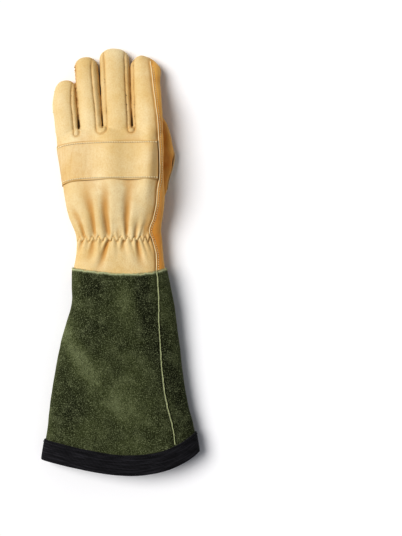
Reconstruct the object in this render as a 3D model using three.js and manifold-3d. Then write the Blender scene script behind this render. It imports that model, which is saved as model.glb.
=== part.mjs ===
// Rose pruning gauntlet for the left hand, lying palm down.
// Millimetres, +Z up, fingers toward +Y, thumb toward +X. The glove is modelled round the
// middle of its wrist gathers and then moved, so that its box stands on the origin.
import * as THREE from 'three';
import { mergeVertices } from 'three/addons/utils/BufferGeometryUtils.js';
import Module from 'manifold-3d';

// Walls and clearances
const leatherWall = 1.3;
const suedeWall = 1.8;
const tapeWall = 1.2;
const bandWall = 1.2;
const patchWall = 1.0;
const seamGap = 0.3;

// Palm and back of the hand
const palmLength = 112;
const palmThickness = 32;
const palmEndRound = 9;
const fingerGap = 1.0;
const gatherDepth = 2.6;
const bandWidth = 41;
const bandFromCrotch = 11.8;
const bandDip = 5.4;
const weltWidth = 1.6;
const weltRise = 1.0;

// Fingers, measured from the crotches
const littleWidth = 24.4;
const littleLength = 54;
const littleThickness = 17;
const ringWidth = 24.6;
const ringLength = 79;
const ringThickness = 19;
const middleWidth = 30;
const middleLength = 88;
const middleThickness = 20;
const indexWidth = 31.8;
const indexLength = 81;
const indexThickness = 20;
const indexSlant = 7;
const indexSlantReach = 30;
const fingertipRound = 13;

// Thumb, measured from the wrist gathers
const thumbStart = 20;
const thumbLength = 119;
const thumbWidth = 45;
const thumbThickness = 15.5;
const thumbtipRound = 15;
const thumbSlope = 0.2;

// Cuff, measured from its top edge
const wristSkirt = 33;
const cuffOverlap = 12;
const cuffLength = 195;
const cuffThickness = 33;
const mouthWidth = 164;
const topSag = 5.2;
const hemSag = 19;
const sagLean = 0.5;
const hemSkew = 4;
const bindingWidth = 20;

// Hang loop
const loopWidth = 9;
const loopLength = 19;
const loopSlack = 0.2;

const handWidth = littleWidth + ringWidth + middleWidth + indexWidth + 3 * fingerGap;
const crotchY = palmLength;
const cuffTopY = -wristSkirt;
const skirtEndY = cuffTopY - cuffOverlap;
const insideCuff = suedeWall + seamGap;
const cuffLift = tapeWall + seamGap;
const loopTape = (tapeWall - loopSlack) / 2;

// Cuff sections: along as a share of cuffLength, left, right as shares of mouthWidth,
// thick, mid as shares of cuffThickness, seam as a share of the half width
const cuffTable = [
  { along: -0.10, left: -0.305, right: 0.285, thick: 1.00, mid: 0.50, seam: 0.78 },
  { along: 0.00, left: -0.313, right: 0.296, thick: 1.00, mid: 0.50, seam: 0.785 },
  { along: 0.08, left: -0.316, right: 0.317, thick: 0.99, mid: 0.50, seam: 0.745 },
  { along: 0.19, left: -0.318, right: 0.341, thick: 0.95, mid: 0.48, seam: 0.70 },
  { along: 0.29, left: -0.352, right: 0.356, thick: 0.91, mid: 0.46, seam: 0.685 },
  { along: 0.40, left: -0.386, right: 0.373, thick: 0.89, mid: 0.45, seam: 0.685 },
  { along: 0.57, left: -0.424, right: 0.397, thick: 0.87, mid: 0.45, seam: 0.685 },
  { along: 0.74, left: -0.452, right: 0.434, thick: 0.85, mid: 0.44, seam: 0.70 },
  { along: 0.84, left: -0.467, right: 0.467, thick: 0.84, mid: 0.43, seam: 0.71 },
  { along: 1.00, left: -0.500, right: 0.500, thick: 0.84, mid: 0.43, seam: 0.71 },
  { along: 1.12, left: -0.515, right: 0.515, thick: 0.84, mid: 0.43, seam: 0.71 },
];

// Palm sections: along as a share of palmLength, left, right as shares of handWidth,
// thick as a share of palmThickness
const palmTable = [
  { along: -0.13, left: -0.412, right: 0.386, thick: 0.80 },
  { along: 0.00, left: -0.412, right: 0.376, thick: 0.74 },
  { along: 0.06, left: -0.429, right: 0.370, thick: 0.78 },
  { along: 0.19, left: -0.483, right: 0.390, thick: 0.90 },
  { along: 0.33, left: -0.515, right: 0.406, thick: 0.98 },
  { along: 0.50, left: -0.542, right: 0.402, thick: 1.00 },
  { along: 0.67, left: -0.566, right: 0.396, thick: 0.96 },
  { along: 0.80, left: -0.588, right: 0.398, thick: 0.88 },
  { along: 0.90, left: -0.599, right: 0.397, thick: 0.78 },
  { along: 1.00, left: -0.605, right: 0.395, thick: 0.66 },
  { along: 1.05, left: -0.605, right: 0.395, thick: 0.60 },
];

// Height of the hand's middle surface on the little and index sides, as shares of palmThickness
const middleTable = [
  { along: -0.13, little: 0.46, index: 0.48 },
  { along: 0.00, little: 0.43, index: 0.52 },
  { along: 0.20, little: 0.40, index: 0.68 },
  { along: 0.50, little: 0.37, index: 0.96 },
  { along: 0.75, little: 0.35, index: 0.99 },
  { along: 1.00, little: 0.31, index: 0.93 },
  { along: 1.20, little: 0.28, index: 0.85 },
  { along: 1.50, little: 0.25, index: 0.48 },
  { along: 1.70, little: 0.20, index: 0.28 },
  { along: 1.80, little: 0.18, index: 0.25 },
];

// Finger sections: along as a share of its length, shift, wide as shares of its width,
// thick as a share of its thickness
const fingerTables = {
  little: [
    { along: -0.50, shift: 0.00, wide: 0.76, thick: 0.70 },
    { along: -0.22, shift: 0.00, wide: 0.86, thick: 0.84 },
    { along: 0.00, shift: -0.015, wide: 1.03, thick: 1.00 },
    { along: 0.25, shift: -0.07, wide: 1.05, thick: 1.00 },
    { along: 0.50, shift: -0.12, wide: 1.05, thick: 0.98 },
    { along: 0.75, shift: -0.10, wide: 0.96, thick: 0.94 },
    { along: 1.00, shift: -0.06, wide: 0.90, thick: 0.88 },
  ],
  ring: [
    { along: -0.30, shift: 0.00, wide: 0.76, thick: 0.70 },
    { along: -0.13, shift: 0.00, wide: 0.86, thick: 0.84 },
    { along: 0.00, shift: 0.00, wide: 1.00, thick: 1.00 },
    { along: 0.30, shift: -0.07, wide: 0.99, thick: 1.00 },
    { along: 0.60, shift: -0.17, wide: 1.00, thick: 0.98 },
    { along: 0.85, shift: -0.22, wide: 1.01, thick: 0.92 },
    { along: 1.00, shift: -0.19, wide: 0.98, thick: 0.86 },
  ],
  middle: [
    { along: -0.28, shift: 0.00, wide: 0.76, thick: 0.70 },
    { along: -0.12, shift: 0.00, wide: 0.86, thick: 0.84 },
    { along: 0.00, shift: 0.00, wide: 1.00, thick: 1.00 },
    { along: 0.38, shift: -0.06, wide: 1.01, thick: 1.00 },
    { along: 0.65, shift: -0.08, wide: 1.01, thick: 0.98 },
    { along: 0.87, shift: -0.10, wide: 1.02, thick: 0.92 },
    { along: 1.00, shift: -0.11, wide: 1.04, thick: 0.86 },
  ],
  index: [
    { along: -0.30, shift: 0.00, wide: 0.76, thick: 0.70 },
    { along: -0.13, shift: 0.00, wide: 0.86, thick: 0.84 },
    { along: 0.00, shift: 0.00, wide: 1.00, thick: 1.00 },
    { along: 0.42, shift: -0.06, wide: 0.98, thick: 1.00 },
    { along: 0.60, shift: -0.09, wide: 0.97, thick: 0.98 },
    { along: 0.83, shift: -0.095, wide: 0.985, thick: 0.92 },
    { along: 1.00, shift: -0.10, wide: 0.96, thick: 0.86 },
  ],
};

// Thumb sections: along as a share of thumbLength, middle as a share of handWidth,
// wide, thick, mid as shares of its width and thickness
const thumbTable = [
  { along: 0.00, middle: 0.150, wide: 0.62, thick: 0.55, mid: 1.04 },
  { along: 0.10, middle: 0.190, wide: 0.88, thick: 0.80, mid: 0.78 },
  { along: 0.22, middle: 0.218, wide: 1.00, thick: 1.00, mid: 0.60 },
  { along: 0.34, middle: 0.245, wide: 0.98, thick: 1.04, mid: 0.52 },
  { along: 0.49, middle: 0.313, wide: 0.86, thick: 1.06, mid: 0.50 },
  { along: 0.58, middle: 0.335, wide: 0.78, thick: 1.06, mid: 0.50 },
  { along: 0.68, middle: 0.334, wide: 0.69, thick: 1.02, mid: 0.49 },
  { along: 0.82, middle: 0.324, wide: 0.54, thick: 0.96, mid: 0.47 },
  { along: 0.90, middle: 0.297, wide: 0.48, thick: 0.92, mid: 0.46 },
  { along: 1.00, middle: 0.265, wide: 0.44, thick: 0.88, mid: 0.44 },
];

// Wrist gathers: at as a share of handWidth, up, down their reach and leanUp, leanDown their
// drift as shares of palmLength and wristSkirt, deep as a share of gatherDepth
const gatherTable = [
  { at: -0.350, up: 0.24, leanUp: -0.10, down: 0.30, leanDown: -0.05, deep: 0.6 },
  { at: -0.222, up: 0.26, leanUp: -0.11, down: 0.70, leanDown: -0.12, deep: 0.8 },
  { at: -0.092, up: 0.40, leanUp: -0.08, down: 0.95, leanDown: -0.32, deep: 1.0 },
  { at: 0.050, up: 0.44, leanUp: 0.02, down: 0.50, leanDown: -0.08, deep: 1.0 },
  { at: 0.160, up: 0.22, leanUp: 0.04, down: 0.85, leanDown: 0.12, deep: 0.7 },
  { at: 0.250, up: 0.16, leanUp: 0.05, down: 0.40, leanDown: 0.10, deep: 0.5 },
];
const gatherWidth = 0.030;

// Seam on the back of the hand: along as a share of palmLength, at as a share of handWidth
const seamTable = [
  { along: -0.40, at: 0.316 },
  { along: -0.17, at: 0.315 },
  { along: -0.04, at: 0.286 },
  { along: 0.06, at: 0.254 },
  { along: 0.17, at: 0.290 },
  { along: 0.31, at: 0.321 },
  { along: 0.43, at: 0.331 },
  { along: 0.55, at: 0.350 },
  { along: 0.76, at: 0.350 },
  { along: 0.90, at: 0.341 },
  { along: 1.07, at: 0.333 },
  { along: 1.24, at: 0.312 },
  { along: 1.39, at: 0.291 },
  { along: 1.54, at: 0.274 },
  { along: 1.66, at: 0.257 },
  { along: 1.80, at: 0.250 },
];

// Side strips between the fingers: the seam on each finger as a share of its half width, and how
// far the strip's foot lies below the crotch
const fourchetteTable = [
  { name: 'fourchette_little_ring', left: 'little', leftAt: 0.62, right: 'ring', rightAt: -0.86, foot: 6.2 },
  { name: 'fourchette_ring_middle', left: 'ring', leftAt: 0.50, right: 'middle', rightAt: -0.72, foot: 4.4 },
  { name: 'fourchette_middle_index', left: 'middle', leftAt: 0.74, right: 'index', rightAt: -0.85, foot: 3 },
];

const colours = {
  grain: '#e6cb94',
  palm: '#e2c68c',
  patch: '#efdcae',
  suede: '#3e4a2a',
  rawEdge: '#a9ac86',
  tape: '#161618',
};

// Smooth value of one column of a table at a place along it
function blend(rows, key, column, place) {
  const last = rows.length - 1;
  let i = 0;
  while (i < last - 1 && place > rows[i + 1][key]) i += 1;
  const slope = (k) => {
    const a = rows[Math.max(k - 1, 0)];
    const b = rows[Math.min(k + 1, last)];
    return (b[column] - a[column]) / (b[key] - a[key]);
  };
  const span = rows[i + 1][key] - rows[i][key];
  const t = THREE.MathUtils.clamp((place - rows[i][key]) / span, 0, 1);
  const rise = rows[i + 1][column] - rows[i][column];
  const bend = (1 - t) * (slope(i) * span - rise) - t * (slope(i + 1) * span - rise);
  return rows[i][column] + rise * t + t * (1 - t) * bend;
}

function smoothStep(value) {
  return THREE.MathUtils.smoothstep(value, 0, 1);
}

// Forms. Each gives, for a plane across the glove, its middle and half width, its rise over a
// middle surface and the level that it is flattened to. out moves the skin outward.
const knuckleLeft = blend(palmTable, 'along', 'left', 1) * handWidth;
const loopX = mouthWidth / 2 - 0.595 * mouthWidth;

const cuffRows = cuffTable.map((row) => ({
  y: cuffTopY - row.along * cuffLength,
  left: row.left * mouthWidth,
  right: row.right * mouthWidth,
  thick: row.thick * cuffThickness,
  mid: row.mid * cuffThickness,
  lift: cuffLift * smoothStep((row.along - 0.35) * 3),
  seam: row.seam,
})).reverse();

const cuffForm = {
  rows: cuffRows,
  mid: (x, y) => blend(cuffRows, 'y', 'mid', y),
  level: (x, y) => blend(cuffRows, 'y', 'lift', y),
  fold: () => 0,
  power: 2.5,
};

function skirtRow(y) {
  return {
    y,
    left: blend(cuffRows, 'y', 'left', y) + insideCuff,
    right: blend(cuffRows, 'y', 'right', y) - insideCuff,
    thick: blend(cuffRows, 'y', 'thick', y) - 2 * insideCuff,
    lift: insideCuff,
  };
}

const palmRows = [
  skirtRow(skirtEndY - cuffOverlap),
  skirtRow(skirtEndY),
  skirtRow(cuffTopY),
  ...palmTable.map((row) => ({
    y: row.along * palmLength,
    left: row.left * handWidth,
    right: row.right * handWidth,
    thick: row.thick * palmThickness,
    lift: row.along < 0 ? insideCuff / 2 : 0,
  })),
];

const middleRows = [
  ...[skirtEndY - cuffOverlap, skirtEndY, cuffTopY].map((y) => ({
    y,
    little: blend(cuffRows, 'y', 'mid', y),
    index: blend(cuffRows, 'y', 'mid', y),
  })),
  ...middleTable.map((row) => ({
    y: row.along * palmLength,
    little: row.little * palmThickness,
    index: row.index * palmThickness,
  })),
];

function middleHeight(x, y) {
  const little = blend(middleRows, 'y', 'little', y);
  const index = blend(middleRows, 'y', 'index', y);
  return little + (index - little) * (x - knuckleLeft) / handWidth;
}

function gatherFold(x, y) {
  let depth = 0;
  for (const row of gatherTable) {
    const up = y > 0;
    const reach = up ? row.up * palmLength : row.down * wristSkirt;
    const along = Math.abs(y) / reach;
    const drift = (up ? row.leanUp : row.leanDown) * reach * along;
    const away = (x - row.at * handWidth - drift) / (gatherWidth * handWidth * (1 + along));
    depth += row.deep * gatherDepth * Math.exp(-away * away) * (1 - smoothStep(along));
  }
  return depth;
}

const palmForm = {
  rows: palmRows,
  mid: middleHeight,
  level: (x, y) => blend(palmRows, 'y', 'lift', y),
  fold: gatherFold,
  power: 2.5,
  tip: { y: crotchY + palmEndRound / 2, round: palmEndRound },
};

function fingerForm(name, width, length, thickness, startX, slant = 0) {
  const rows = fingerTables[name].map((row) => {
    const middle = startX + width / 2 + row.shift * width;
    return {
      y: crotchY + row.along * length,
      left: middle - row.wide * width / 2,
      right: middle + row.wide * width / 2,
      thick: row.thick * thickness,
    };
  });
  const tip = { y: crotchY + length, round: fingertipRound };
  return { rows, mid: middleHeight, level: () => 0, fold: () => 0, power: 2.4, tip, slant };
}

const ringStart = knuckleLeft + littleWidth + fingerGap;
const middleStart = ringStart + ringWidth + fingerGap;
const indexStart = middleStart + middleWidth + fingerGap;
const fingerForms = {
  little: fingerForm('little', littleWidth, littleLength, littleThickness, knuckleLeft),
  ring: fingerForm('ring', ringWidth, ringLength, ringThickness, ringStart),
  middle: fingerForm('middle', middleWidth, middleLength, middleThickness, middleStart),
  index: fingerForm('index', indexWidth, indexLength, indexThickness, indexStart, indexSlant),
};

const thumbRows = thumbTable.map((row) => ({
  y: thumbStart + row.along * thumbLength,
  left: row.middle * handWidth - row.wide * thumbWidth / 2,
  right: row.middle * handWidth + row.wide * thumbWidth / 2,
  thick: row.thick * thumbThickness,
  mid: row.mid * thumbThickness + patchWall + seamGap,
}));

function thumbMiddleHeight(x, y) {
  const middle = (blend(thumbRows, 'y', 'left', y) + blend(thumbRows, 'y', 'right', y)) / 2;
  return blend(thumbRows, 'y', 'mid', y) + thumbSlope * (x - middle);
}

const thumbForm = {
  rows: thumbRows,
  mid: thumbMiddleHeight,
  level: () => patchWall + seamGap,
  fold: () => 0,
  power: 2.3,
  tip: { y: thumbStart + thumbLength, round: thumbtipRound },
};

// Share of the full section that is left near a rounded end
function tipShare(form, y, out) {
  if (!form.tip) return 1;
  const round = form.tip.round + out;
  const past = (y - (form.tip.y + out - round)) / round;
  return past <= 0 ? 1 : Math.pow(Math.max(1 - Math.pow(past, 2.3), 0), 1 / 2.3);
}

function sectionAt(form, y, out = 0) {
  const left = blend(form.rows, 'y', 'left', y);
  const right = blend(form.rows, 'y', 'right', y);
  const share = tipShare(form, y, out);
  return {
    middle: (left + right) / 2,
    half: ((right - left) / 2 + out) * share,
    rise: (blend(form.rows, 'y', 'thick', y) / 2 + out) * share,
  };
}

// How far a slanted fingertip falls back towards its thumb side
function slantAt(form, x, y) {
  if (!form.slant) return 0;
  const left = blend(form.rows, 'y', 'left', y);
  const across = (x - left) / (blend(form.rows, 'y', 'right', y) - left);
  const near = smoothStep(1 - (form.tip.y - y) / indexSlantReach);
  return form.slant * near * THREE.MathUtils.clamp((across - 0.35) / 0.65, 0, 1);
}

function bulge(value, power) {
  return Math.sign(value) * Math.pow(Math.abs(value), 2 / power);
}

// Point of a form's skin in the plane y, at an angle round it from the thumb side
function skinPoint(form, y, angle, out = 0) {
  const section = sectionAt(form, y, out);
  const x = section.middle + section.half * bulge(Math.cos(angle), form.power);
  const lifted = section.rise * bulge(Math.sin(angle), form.power);
  const fold = lifted > 0 ? form.fold(x, y) * Math.min(lifted / section.rise * 1.6, 1) : 0;
  const z = form.mid(x, y) + lifted - fold;
  return new THREE.Vector3(x, y - slantAt(form, x, y), Math.max(z, form.level(x, y) - out));
}

// Height of a form's upper skin over a point, or nothing beside it
function topOf(form, x, atY) {
  const y = atY + slantAt(form, x, atY);
  const ends = form.rows[0].y > y || (form.tip && form.tip.y < y);
  const section = sectionAt(form, y);
  const across = Math.abs(x - section.middle) / Math.max(section.half, 1e-6);
  if (ends || across >= 1) return -Infinity;
  const lifted = section.rise * Math.pow(1 - Math.pow(across, form.power), 1 / form.power);
  return form.mid(x, y) + lifted - form.fold(x, y);
}

// Angle at which a form's skin has a given share of its half width
function angleOf(form, share) {
  return Math.acos(Math.sign(share) * Math.pow(Math.abs(share), form.power / 2));
}

// Meshes
function geometryOf(points, triangles) {
  const geometry = new THREE.BufferGeometry();
  const values = points.flatMap((p) => [p.x, p.y, p.z]);
  geometry.setAttribute('position', new THREE.Float32BufferAttribute(values, 3));
  geometry.setIndex(triangles);
  return geometry;
}

function signedVolume(points, triangles) {
  let volume = 0;
  for (let i = 0; i < triangles.length; i += 3) {
    const [a, b, c] = [points[triangles[i]], points[triangles[i + 1]], points[triangles[i + 2]]];
    volume += a.dot(b.clone().cross(c)) / 6;
  }
  return volume;
}

function outward(points, triangles) {
  if (signedVolume(points, triangles) < 0) triangles.reverse();
  return geometryOf(points, triangles);
}

// Closed solid through rings of points. A wall's last ring joins its first one,
// and any other solid is closed by a fan at each end.
function solidOfRings(rings, wall = false) {
  const count = rings[0].length;
  const points = rings.flat();
  const triangles = [];
  const quad = (a, b, c, d) => triangles.push(a, b, c, a, c, d);
  const steps = wall ? rings.length : rings.length - 1;
  for (let i = 0; i < steps; i += 1) {
    const next = (i + 1) % rings.length;
    for (let j = 0; j < count; j += 1) {
      const k = (j + 1) % count;
      quad(i * count + j, i * count + k, next * count + k, next * count + j);
    }
  }
  if (wall) return outward(points, triangles);
  for (const [ring, start] of [[rings[0], 0], [rings.at(-1), (rings.length - 1) * count]]) {
    const hub = points.length;
    points.push(ring.reduce((sum, p) => sum.add(p), new THREE.Vector3()).divideScalar(count));
    for (let j = 0; j < count; j += 1) {
      const [a, b] = start === 0 ? [(j + 1) % count, j] : [j, (j + 1) % count];
      triangles.push(hub, start + a, start + b);
    }
  }
  return outward(points, triangles);
}

// Closed solid between two grids of points that lie over each other
function solidOfGrids(upper, lower) {
  const rings = upper.map((row, i) => [...row, ...lower[i].slice().reverse()]);
  const count = rings[0].length;
  const half = count / 2;
  const points = rings.flat();
  const triangles = [];
  const quad = (a, b, c, d) => triangles.push(a, b, c, a, c, d);
  for (let i = 0; i < rings.length - 1; i += 1) {
    for (let j = 0; j < count; j += 1) {
      const k = (j + 1) % count;
      quad(i * count + j, i * count + k, (i + 1) * count + k, (i + 1) * count + j);
    }
  }
  const end = (rings.length - 1) * count;
  for (let j = 0; j < half - 1; j += 1) {
    const back = count - 1 - j;
    quad(j + 1, j, back, back - 1);
    quad(end + j, end + j + 1, end + back - 1, end + back);
  }
  return outward(points, triangles);
}

// Angles round a section, closer together on top, where the folds are
function roundAngles(topSteps, bottomSteps, even) {
  const angles = [];
  for (let i = 0; i < topSteps; i += 1) {
    const share = i / topSteps;
    angles.push(Math.PI * share * (1 - even) + Math.acos(1 - 2 * share) * even);
  }
  for (let i = 0; i < bottomSteps; i += 1) {
    const share = i / bottomSteps;
    angles.push(Math.PI + Math.PI * share * (1 - even) + Math.acos(1 - 2 * share) * even);
  }
  return angles;
}

const palmAngles = roundAngles(22, 9, 0.55);
const fingerAngles = roundAngles(7, 5, 0);
const thumbAngles = roundAngles(7, 6, 0);
const cuffAngles = roundAngles(18, 12, 0.45);

function formSolid(form, startY, places, angles, out) {
  const endY = form.tip.y + out;
  const ys = places.map((place) => startY + place * (endY - startY));
  const rings = ys.map((y) => angles.map((angle) => skinPoint(form, y, angle, out)));
  return solidOfRings(rings);
}

// Places along a form: even at first, then closing on its round end
function placesTo(form, startY, steps, tipSteps) {
  const roundFrom = 1 - form.tip.round / (form.tip.y - startY);
  const places = [];
  for (let i = 0; i < steps; i += 1) places.push(roundFrom * i / steps);
  for (let i = 0; i < tipSteps; i += 1) {
    places.push(roundFrom + (1 - roundFrom) * Math.sin(Math.PI / 2 * i / tipSteps));
  }
  places.push(1 - 0.0015);
  return places;
}

function palmSolid(out, startY) {
  const ys = [
    startY, cuffTopY, 0.7 * cuffTopY, 0.42 * cuffTopY, 0.2 * cuffTopY, 0, 0.04 * palmLength,
    0.1 * palmLength, 0.18 * palmLength, 0.28 * palmLength, 0.4 * palmLength, 0.54 * palmLength,
    0.7 * palmLength, 0.84 * palmLength, 0.94 * palmLength,
  ];
  const endY = palmForm.tip.y + out;
  for (const share of [0.35, 0.72, 0.93, 0.998]) ys.push(endY - (palmForm.tip.round + out) * (1 - share));
  return solidOfRings(ys.map((y) => palmAngles.map((angle) => skinPoint(palmForm, y, angle, out))));
}

function fingerSolid(form, out) {
  const startY = form.rows[0].y;
  return formSolid(form, startY, placesTo(form, startY, 5, 3), fingerAngles, out);
}

function thumbSolid(out) {
  return formSolid(thumbForm, thumbStart, placesTo(thumbForm, thumbStart, 6, 3), thumbAngles, out);
}

// Joining and cutting
const skinTolerance = 0.12;
const wasm = await Module();
wasm.setup();

function toSolid(geometry) {
  const bare = geometry.clone();
  bare.deleteAttribute('normal');
  bare.deleteAttribute('uv');
  const merged = mergeVertices(bare, 1e-4);
  return new wasm.Manifold(new wasm.Mesh({
    numProp: 3,
    vertProperties: merged.attributes.position.array,
    triVerts: Uint32Array.from(merged.index.array),
  }));
}

// The largest piece of a cut, as a geometry
function toGeometry(solid) {
  const pieces = solid.decompose().sort((a, b) => b.volume() - a.volume());
  const mesh = pieces[0].simplify(skinTolerance).getMesh();
  const geometry = new THREE.BufferGeometry();
  geometry.setAttribute('position', new THREE.BufferAttribute(Float32Array.from(mesh.vertProperties), 3));
  geometry.setIndex(Array.from(mesh.triVerts));
  return geometry;
}

function union(solids) {
  return solids.reduce((sum, solid) => sum.add(solid));
}

// Upright prism over a plan outline of [x, y] corners
function prism(corners) {
  const shape = new THREE.Shape(corners.map(([x, y]) => new THREE.Vector2(x, y)));
  const tall = 4 * palmThickness;
  const geometry = new THREE.ExtrudeGeometry(shape, { depth: tall, bevelEnabled: false });
  geometry.translate(0, 0, -tall / 2);
  return toSolid(geometry);
}

const beyondX = mouthWidth;
const beyondY = crotchY + middleLength + cuffOverlap;

// Everything over the hand's middle surface, moved up by a clearance
function aboveMiddle(clear) {
  const steps = 24;
  const startY = skirtEndY - 2 * cuffOverlap;
  const upper = [];
  const lower = [];
  for (let i = 0; i <= steps; i += 1) {
    const y = startY + (beyondY - startY) * i / steps;
    const xs = [-beyondX, beyondX];
    lower.push(xs.map((x) => new THREE.Vector3(x, y, middleHeight(x, y) + clear)));
    upper.push(xs.map((x) => new THREE.Vector3(x, y, 4 * palmThickness)));
  }
  return toSolid(solidOfGrids(upper, lower));
}

function seamX(y) {
  return blend(seamTable, 'along', 'at', y / palmLength) * handWidth;
}

// Everything on the thumb side of the seam on the back of the hand
function besideSeam(clear) {
  const corners = [];
  const ys = seamTable.map((row) => row.along * palmLength);
  ys[0] = skirtEndY - 2 * cuffOverlap;
  ys[ys.length - 1] = beyondY;
  for (const y of ys) corners.push([seamX(y) + clear, y]);
  corners.push([beyondX, beyondY], [beyondX, ys[0]]);
  return prism(corners);
}

function fingerSeamX(name, y, at) {
  const { rows } = fingerForms[name];
  const place = Math.min(y, rows.at(-1).y);
  const left = blend(rows, 'y', 'left', place);
  const right = blend(rows, 'y', 'right', place);
  return (left + right) / 2 + at * (right - left) / 2;
}

function fourchettePrism(row, grow) {
  const bottomY = crotchY - row.foot - grow;
  const ys = [0.2, 0.5, 0.8].map((share) => crotchY + share * ringLength);
  ys.unshift(crotchY + 2);
  ys.push(beyondY);
  const left = ys.map((y) => [fingerSeamX(row.left, y, row.leftAt) - grow, y]);
  const right = ys.map((y) => [fingerSeamX(row.right, y, row.rightAt) + grow, y]);
  const footX = (left[0][0] + right[0][0]) / 2;
  const footHalf = (right[0][0] - left[0][0]) / 5;
  return prism([[footX + footHalf, bottomY], ...right, ...left.reverse(), [footX - footHalf, bottomY]]);
}

// Under side of the middle and ring fingers, past the straight seam at their base
function frontPrism(grow) {
  const baseY = crotchY + 1.5 - grow;
  const leftX = fingerSeamX('ring', crotchY, -1.05) - grow;
  const rightX = fingerSeamX('middle', crotchY, 1.05) + grow;
  const tipLeftX = fingerSeamX('ring', beyondY, -1.05) - grow;
  const tipRightX = fingerSeamX('middle', beyondY, 1.05) + grow;
  return prism([[leftX, baseY], [rightX, baseY], [tipRightX, beyondY], [tipLeftX, beyondY]]);
}

function thumbSidePrism(clear) {
  const ys = thumbRows.map((row) => row.y);
  ys[0] = thumbStart - thumbThickness;
  ys[ys.length - 1] = thumbForm.tip.y + thumbThickness;
  const corners = ys.map((y) => [sectionAt({ rows: thumbRows }, y).middle + clear, y]);
  corners.push([beyondX, ys.at(-1)], [beyondX, ys[0]]);
  return prism(corners);
}

// Solids of the hand: its skin, its hollow and its skin grown by the seam clearance
const fingerList = Object.values(fingerForms);
const fingerSkins = fingerList.map((form) => toSolid(fingerSolid(form, 0)));
const fingerHollows = fingerList.map((form) => toSolid(fingerSolid(form, -leatherWall)));
const fingerGrown = fingerList.map((form) => toSolid(fingerSolid(form, seamGap)));
const palmSkin = toSolid(palmSolid(0, skirtEndY));
const palmHollow = toSolid(palmSolid(-leatherWall, skirtEndY - cuffOverlap));
const palmGrown = toSolid(palmSolid(seamGap, skirtEndY - seamGap));
const thumbSkin = toSolid(thumbSolid(0));
const thumbHollow = toSolid(thumbSolid(-leatherWall));
const handSkin = union([palmSkin, ...fingerSkins]);
const handHollow = union([palmHollow, ...fingerHollows]);
const handWall = handSkin.subtract(handHollow);

const above = aboveMiddle(seamGap / 2);
const aboveGrown = aboveMiddle(-seamGap / 2);
const beside = besideSeam(seamGap / 2);
const besideGrown = besideSeam(-seamGap / 2);
const fourchettesGrown = union(fourchetteTable.map((row) => fourchettePrism(row, seamGap / 2)));
const front = frontPrism(-seamGap / 2);
const frontGrown = frontPrism(seamGap / 2);

// Leather pieces of the hand
function backPanel() {
  return toGeometry(handWall.intersect(above).subtract(besideGrown).subtract(fourchettesGrown));
}

function palmPanel() {
  const below = handWall.subtract(aboveGrown);
  const wrapped = handWall.intersect(beside);
  return toGeometry(below.subtract(frontGrown).add(wrapped).subtract(fourchettesGrown).subtract(thumbHollow));
}

function fingerFront(name) {
  const otherName = name === 'ring' ? 'middle' : 'ring';
  const other = fingerGrown[Object.keys(fingerForms).indexOf(otherName)];
  const own = handWall.intersect(front).subtract(aboveGrown).subtract(fourchettesGrown);
  return toGeometry(own.subtract(other));
}

function fourchette(row) {
  return toGeometry(handWall.intersect(fourchettePrism(row, -seamGap / 2)));
}

const thumbWall = thumbSkin.subtract(thumbHollow).subtract(palmGrown);

function thumbOuter() {
  return toGeometry(thumbWall.intersect(thumbSidePrism(seamGap / 2)));
}

function thumbInner() {
  return toGeometry(thumbWall.subtract(thumbSidePrism(-seamGap / 2)));
}

// Patch round the outer side of the thumb's base, from under it to its outer edge
function thumbPatch() {
  const ys = [0.25, 0.33, 0.42, 0.51, 0.59].map((share) => thumbStart + share * thumbLength);
  const angles = [1.52, 1.6, 1.68, 1.77, 1.86, 1.94, 2.02].map((share) => share * Math.PI);
  const skinAt = (out) => ys.map((y) => angles.map((angle) => skinPoint(thumbForm, y, angle, out)));
  const patch = toSolid(solidOfGrids(skinAt(patchWall + seamGap), skinAt(0)));
  return toGeometry(patch.subtract(toSolid(thumbSolid(seamGap))));
}

// Band over the knuckles, from the seam on the back round the little finger's side
function knuckleBand() {
  const ySteps = 5;
  const angleSteps = 14;
  const skinAt = (out) => {
    const grid = [];
    for (let i = 0; i <= ySteps; i += 1) {
      const row = [];
      for (let j = 0; j <= angleSteps; j += 1) {
        const across = j / angleSteps;
        const dip = bandDip * smoothStep((across - 0.45) / 0.9) * 1.6;
        const y = crotchY - bandFromCrotch - dip - bandWidth * i / ySteps;
        const section = sectionAt(palmForm, y, out);
        const edge = (seamX(y) - weltWidth / 2 - seamGap - section.middle) / section.half;
        const startAngle = angleOf(palmForm, edge);
        row.push(skinPoint(palmForm, y, startAngle + (Math.PI - startAngle) * across, out));
      }
      grid.push(row);
    }
    return grid;
  };
  const band = toSolid(solidOfGrids(skinAt(bandWall + seamGap), skinAt(0)));
  return toGeometry(band.subtract(palmGrown));
}

// Raised raw edge along the seam on the back, from the index fingertip to the cuff
function handSeamWelt() {
  const startY = cuffTopY + topSag;
  const { index } = fingerForms;
  const endY = index.tip.y - fingertipRound / 3 - slantAt(index, seamX(index.tip.y), index.tip.y);
  const steps = 44;
  const forms = [palmForm, fingerForms.index];
  const upper = [];
  const lower = [];
  for (let i = 0; i <= steps; i += 1) {
    const y = startY + (endY - startY) * i / steps;
    const sides = [-0.5, 0.5].map((side) => seamX(y) + side * weltWidth);
    const tops = sides.map((x) => Math.max(...forms.map((form) => topOf(form, x, y))));
    lower.push(sides.map((x, k) => new THREE.Vector3(x, y, tops[k] + seamGap)));
    upper.push(sides.map((x, k) => new THREE.Vector3(x, y, tops[k] + seamGap + weltRise)));
  }
  return solidOfGrids(upper, lower);
}

// Cuff pieces. A place on the cuff has a share of its length and a share of its half width.
function cuffY(along, across) {
  const deepest = THREE.MathUtils.lerp(topSag, hemSag, along);
  const sag = deepest * (1 - across * across) * (1 + sagLean * across);
  return cuffTopY - along * cuffLength - sag + hemSkew * across * along;
}

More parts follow.
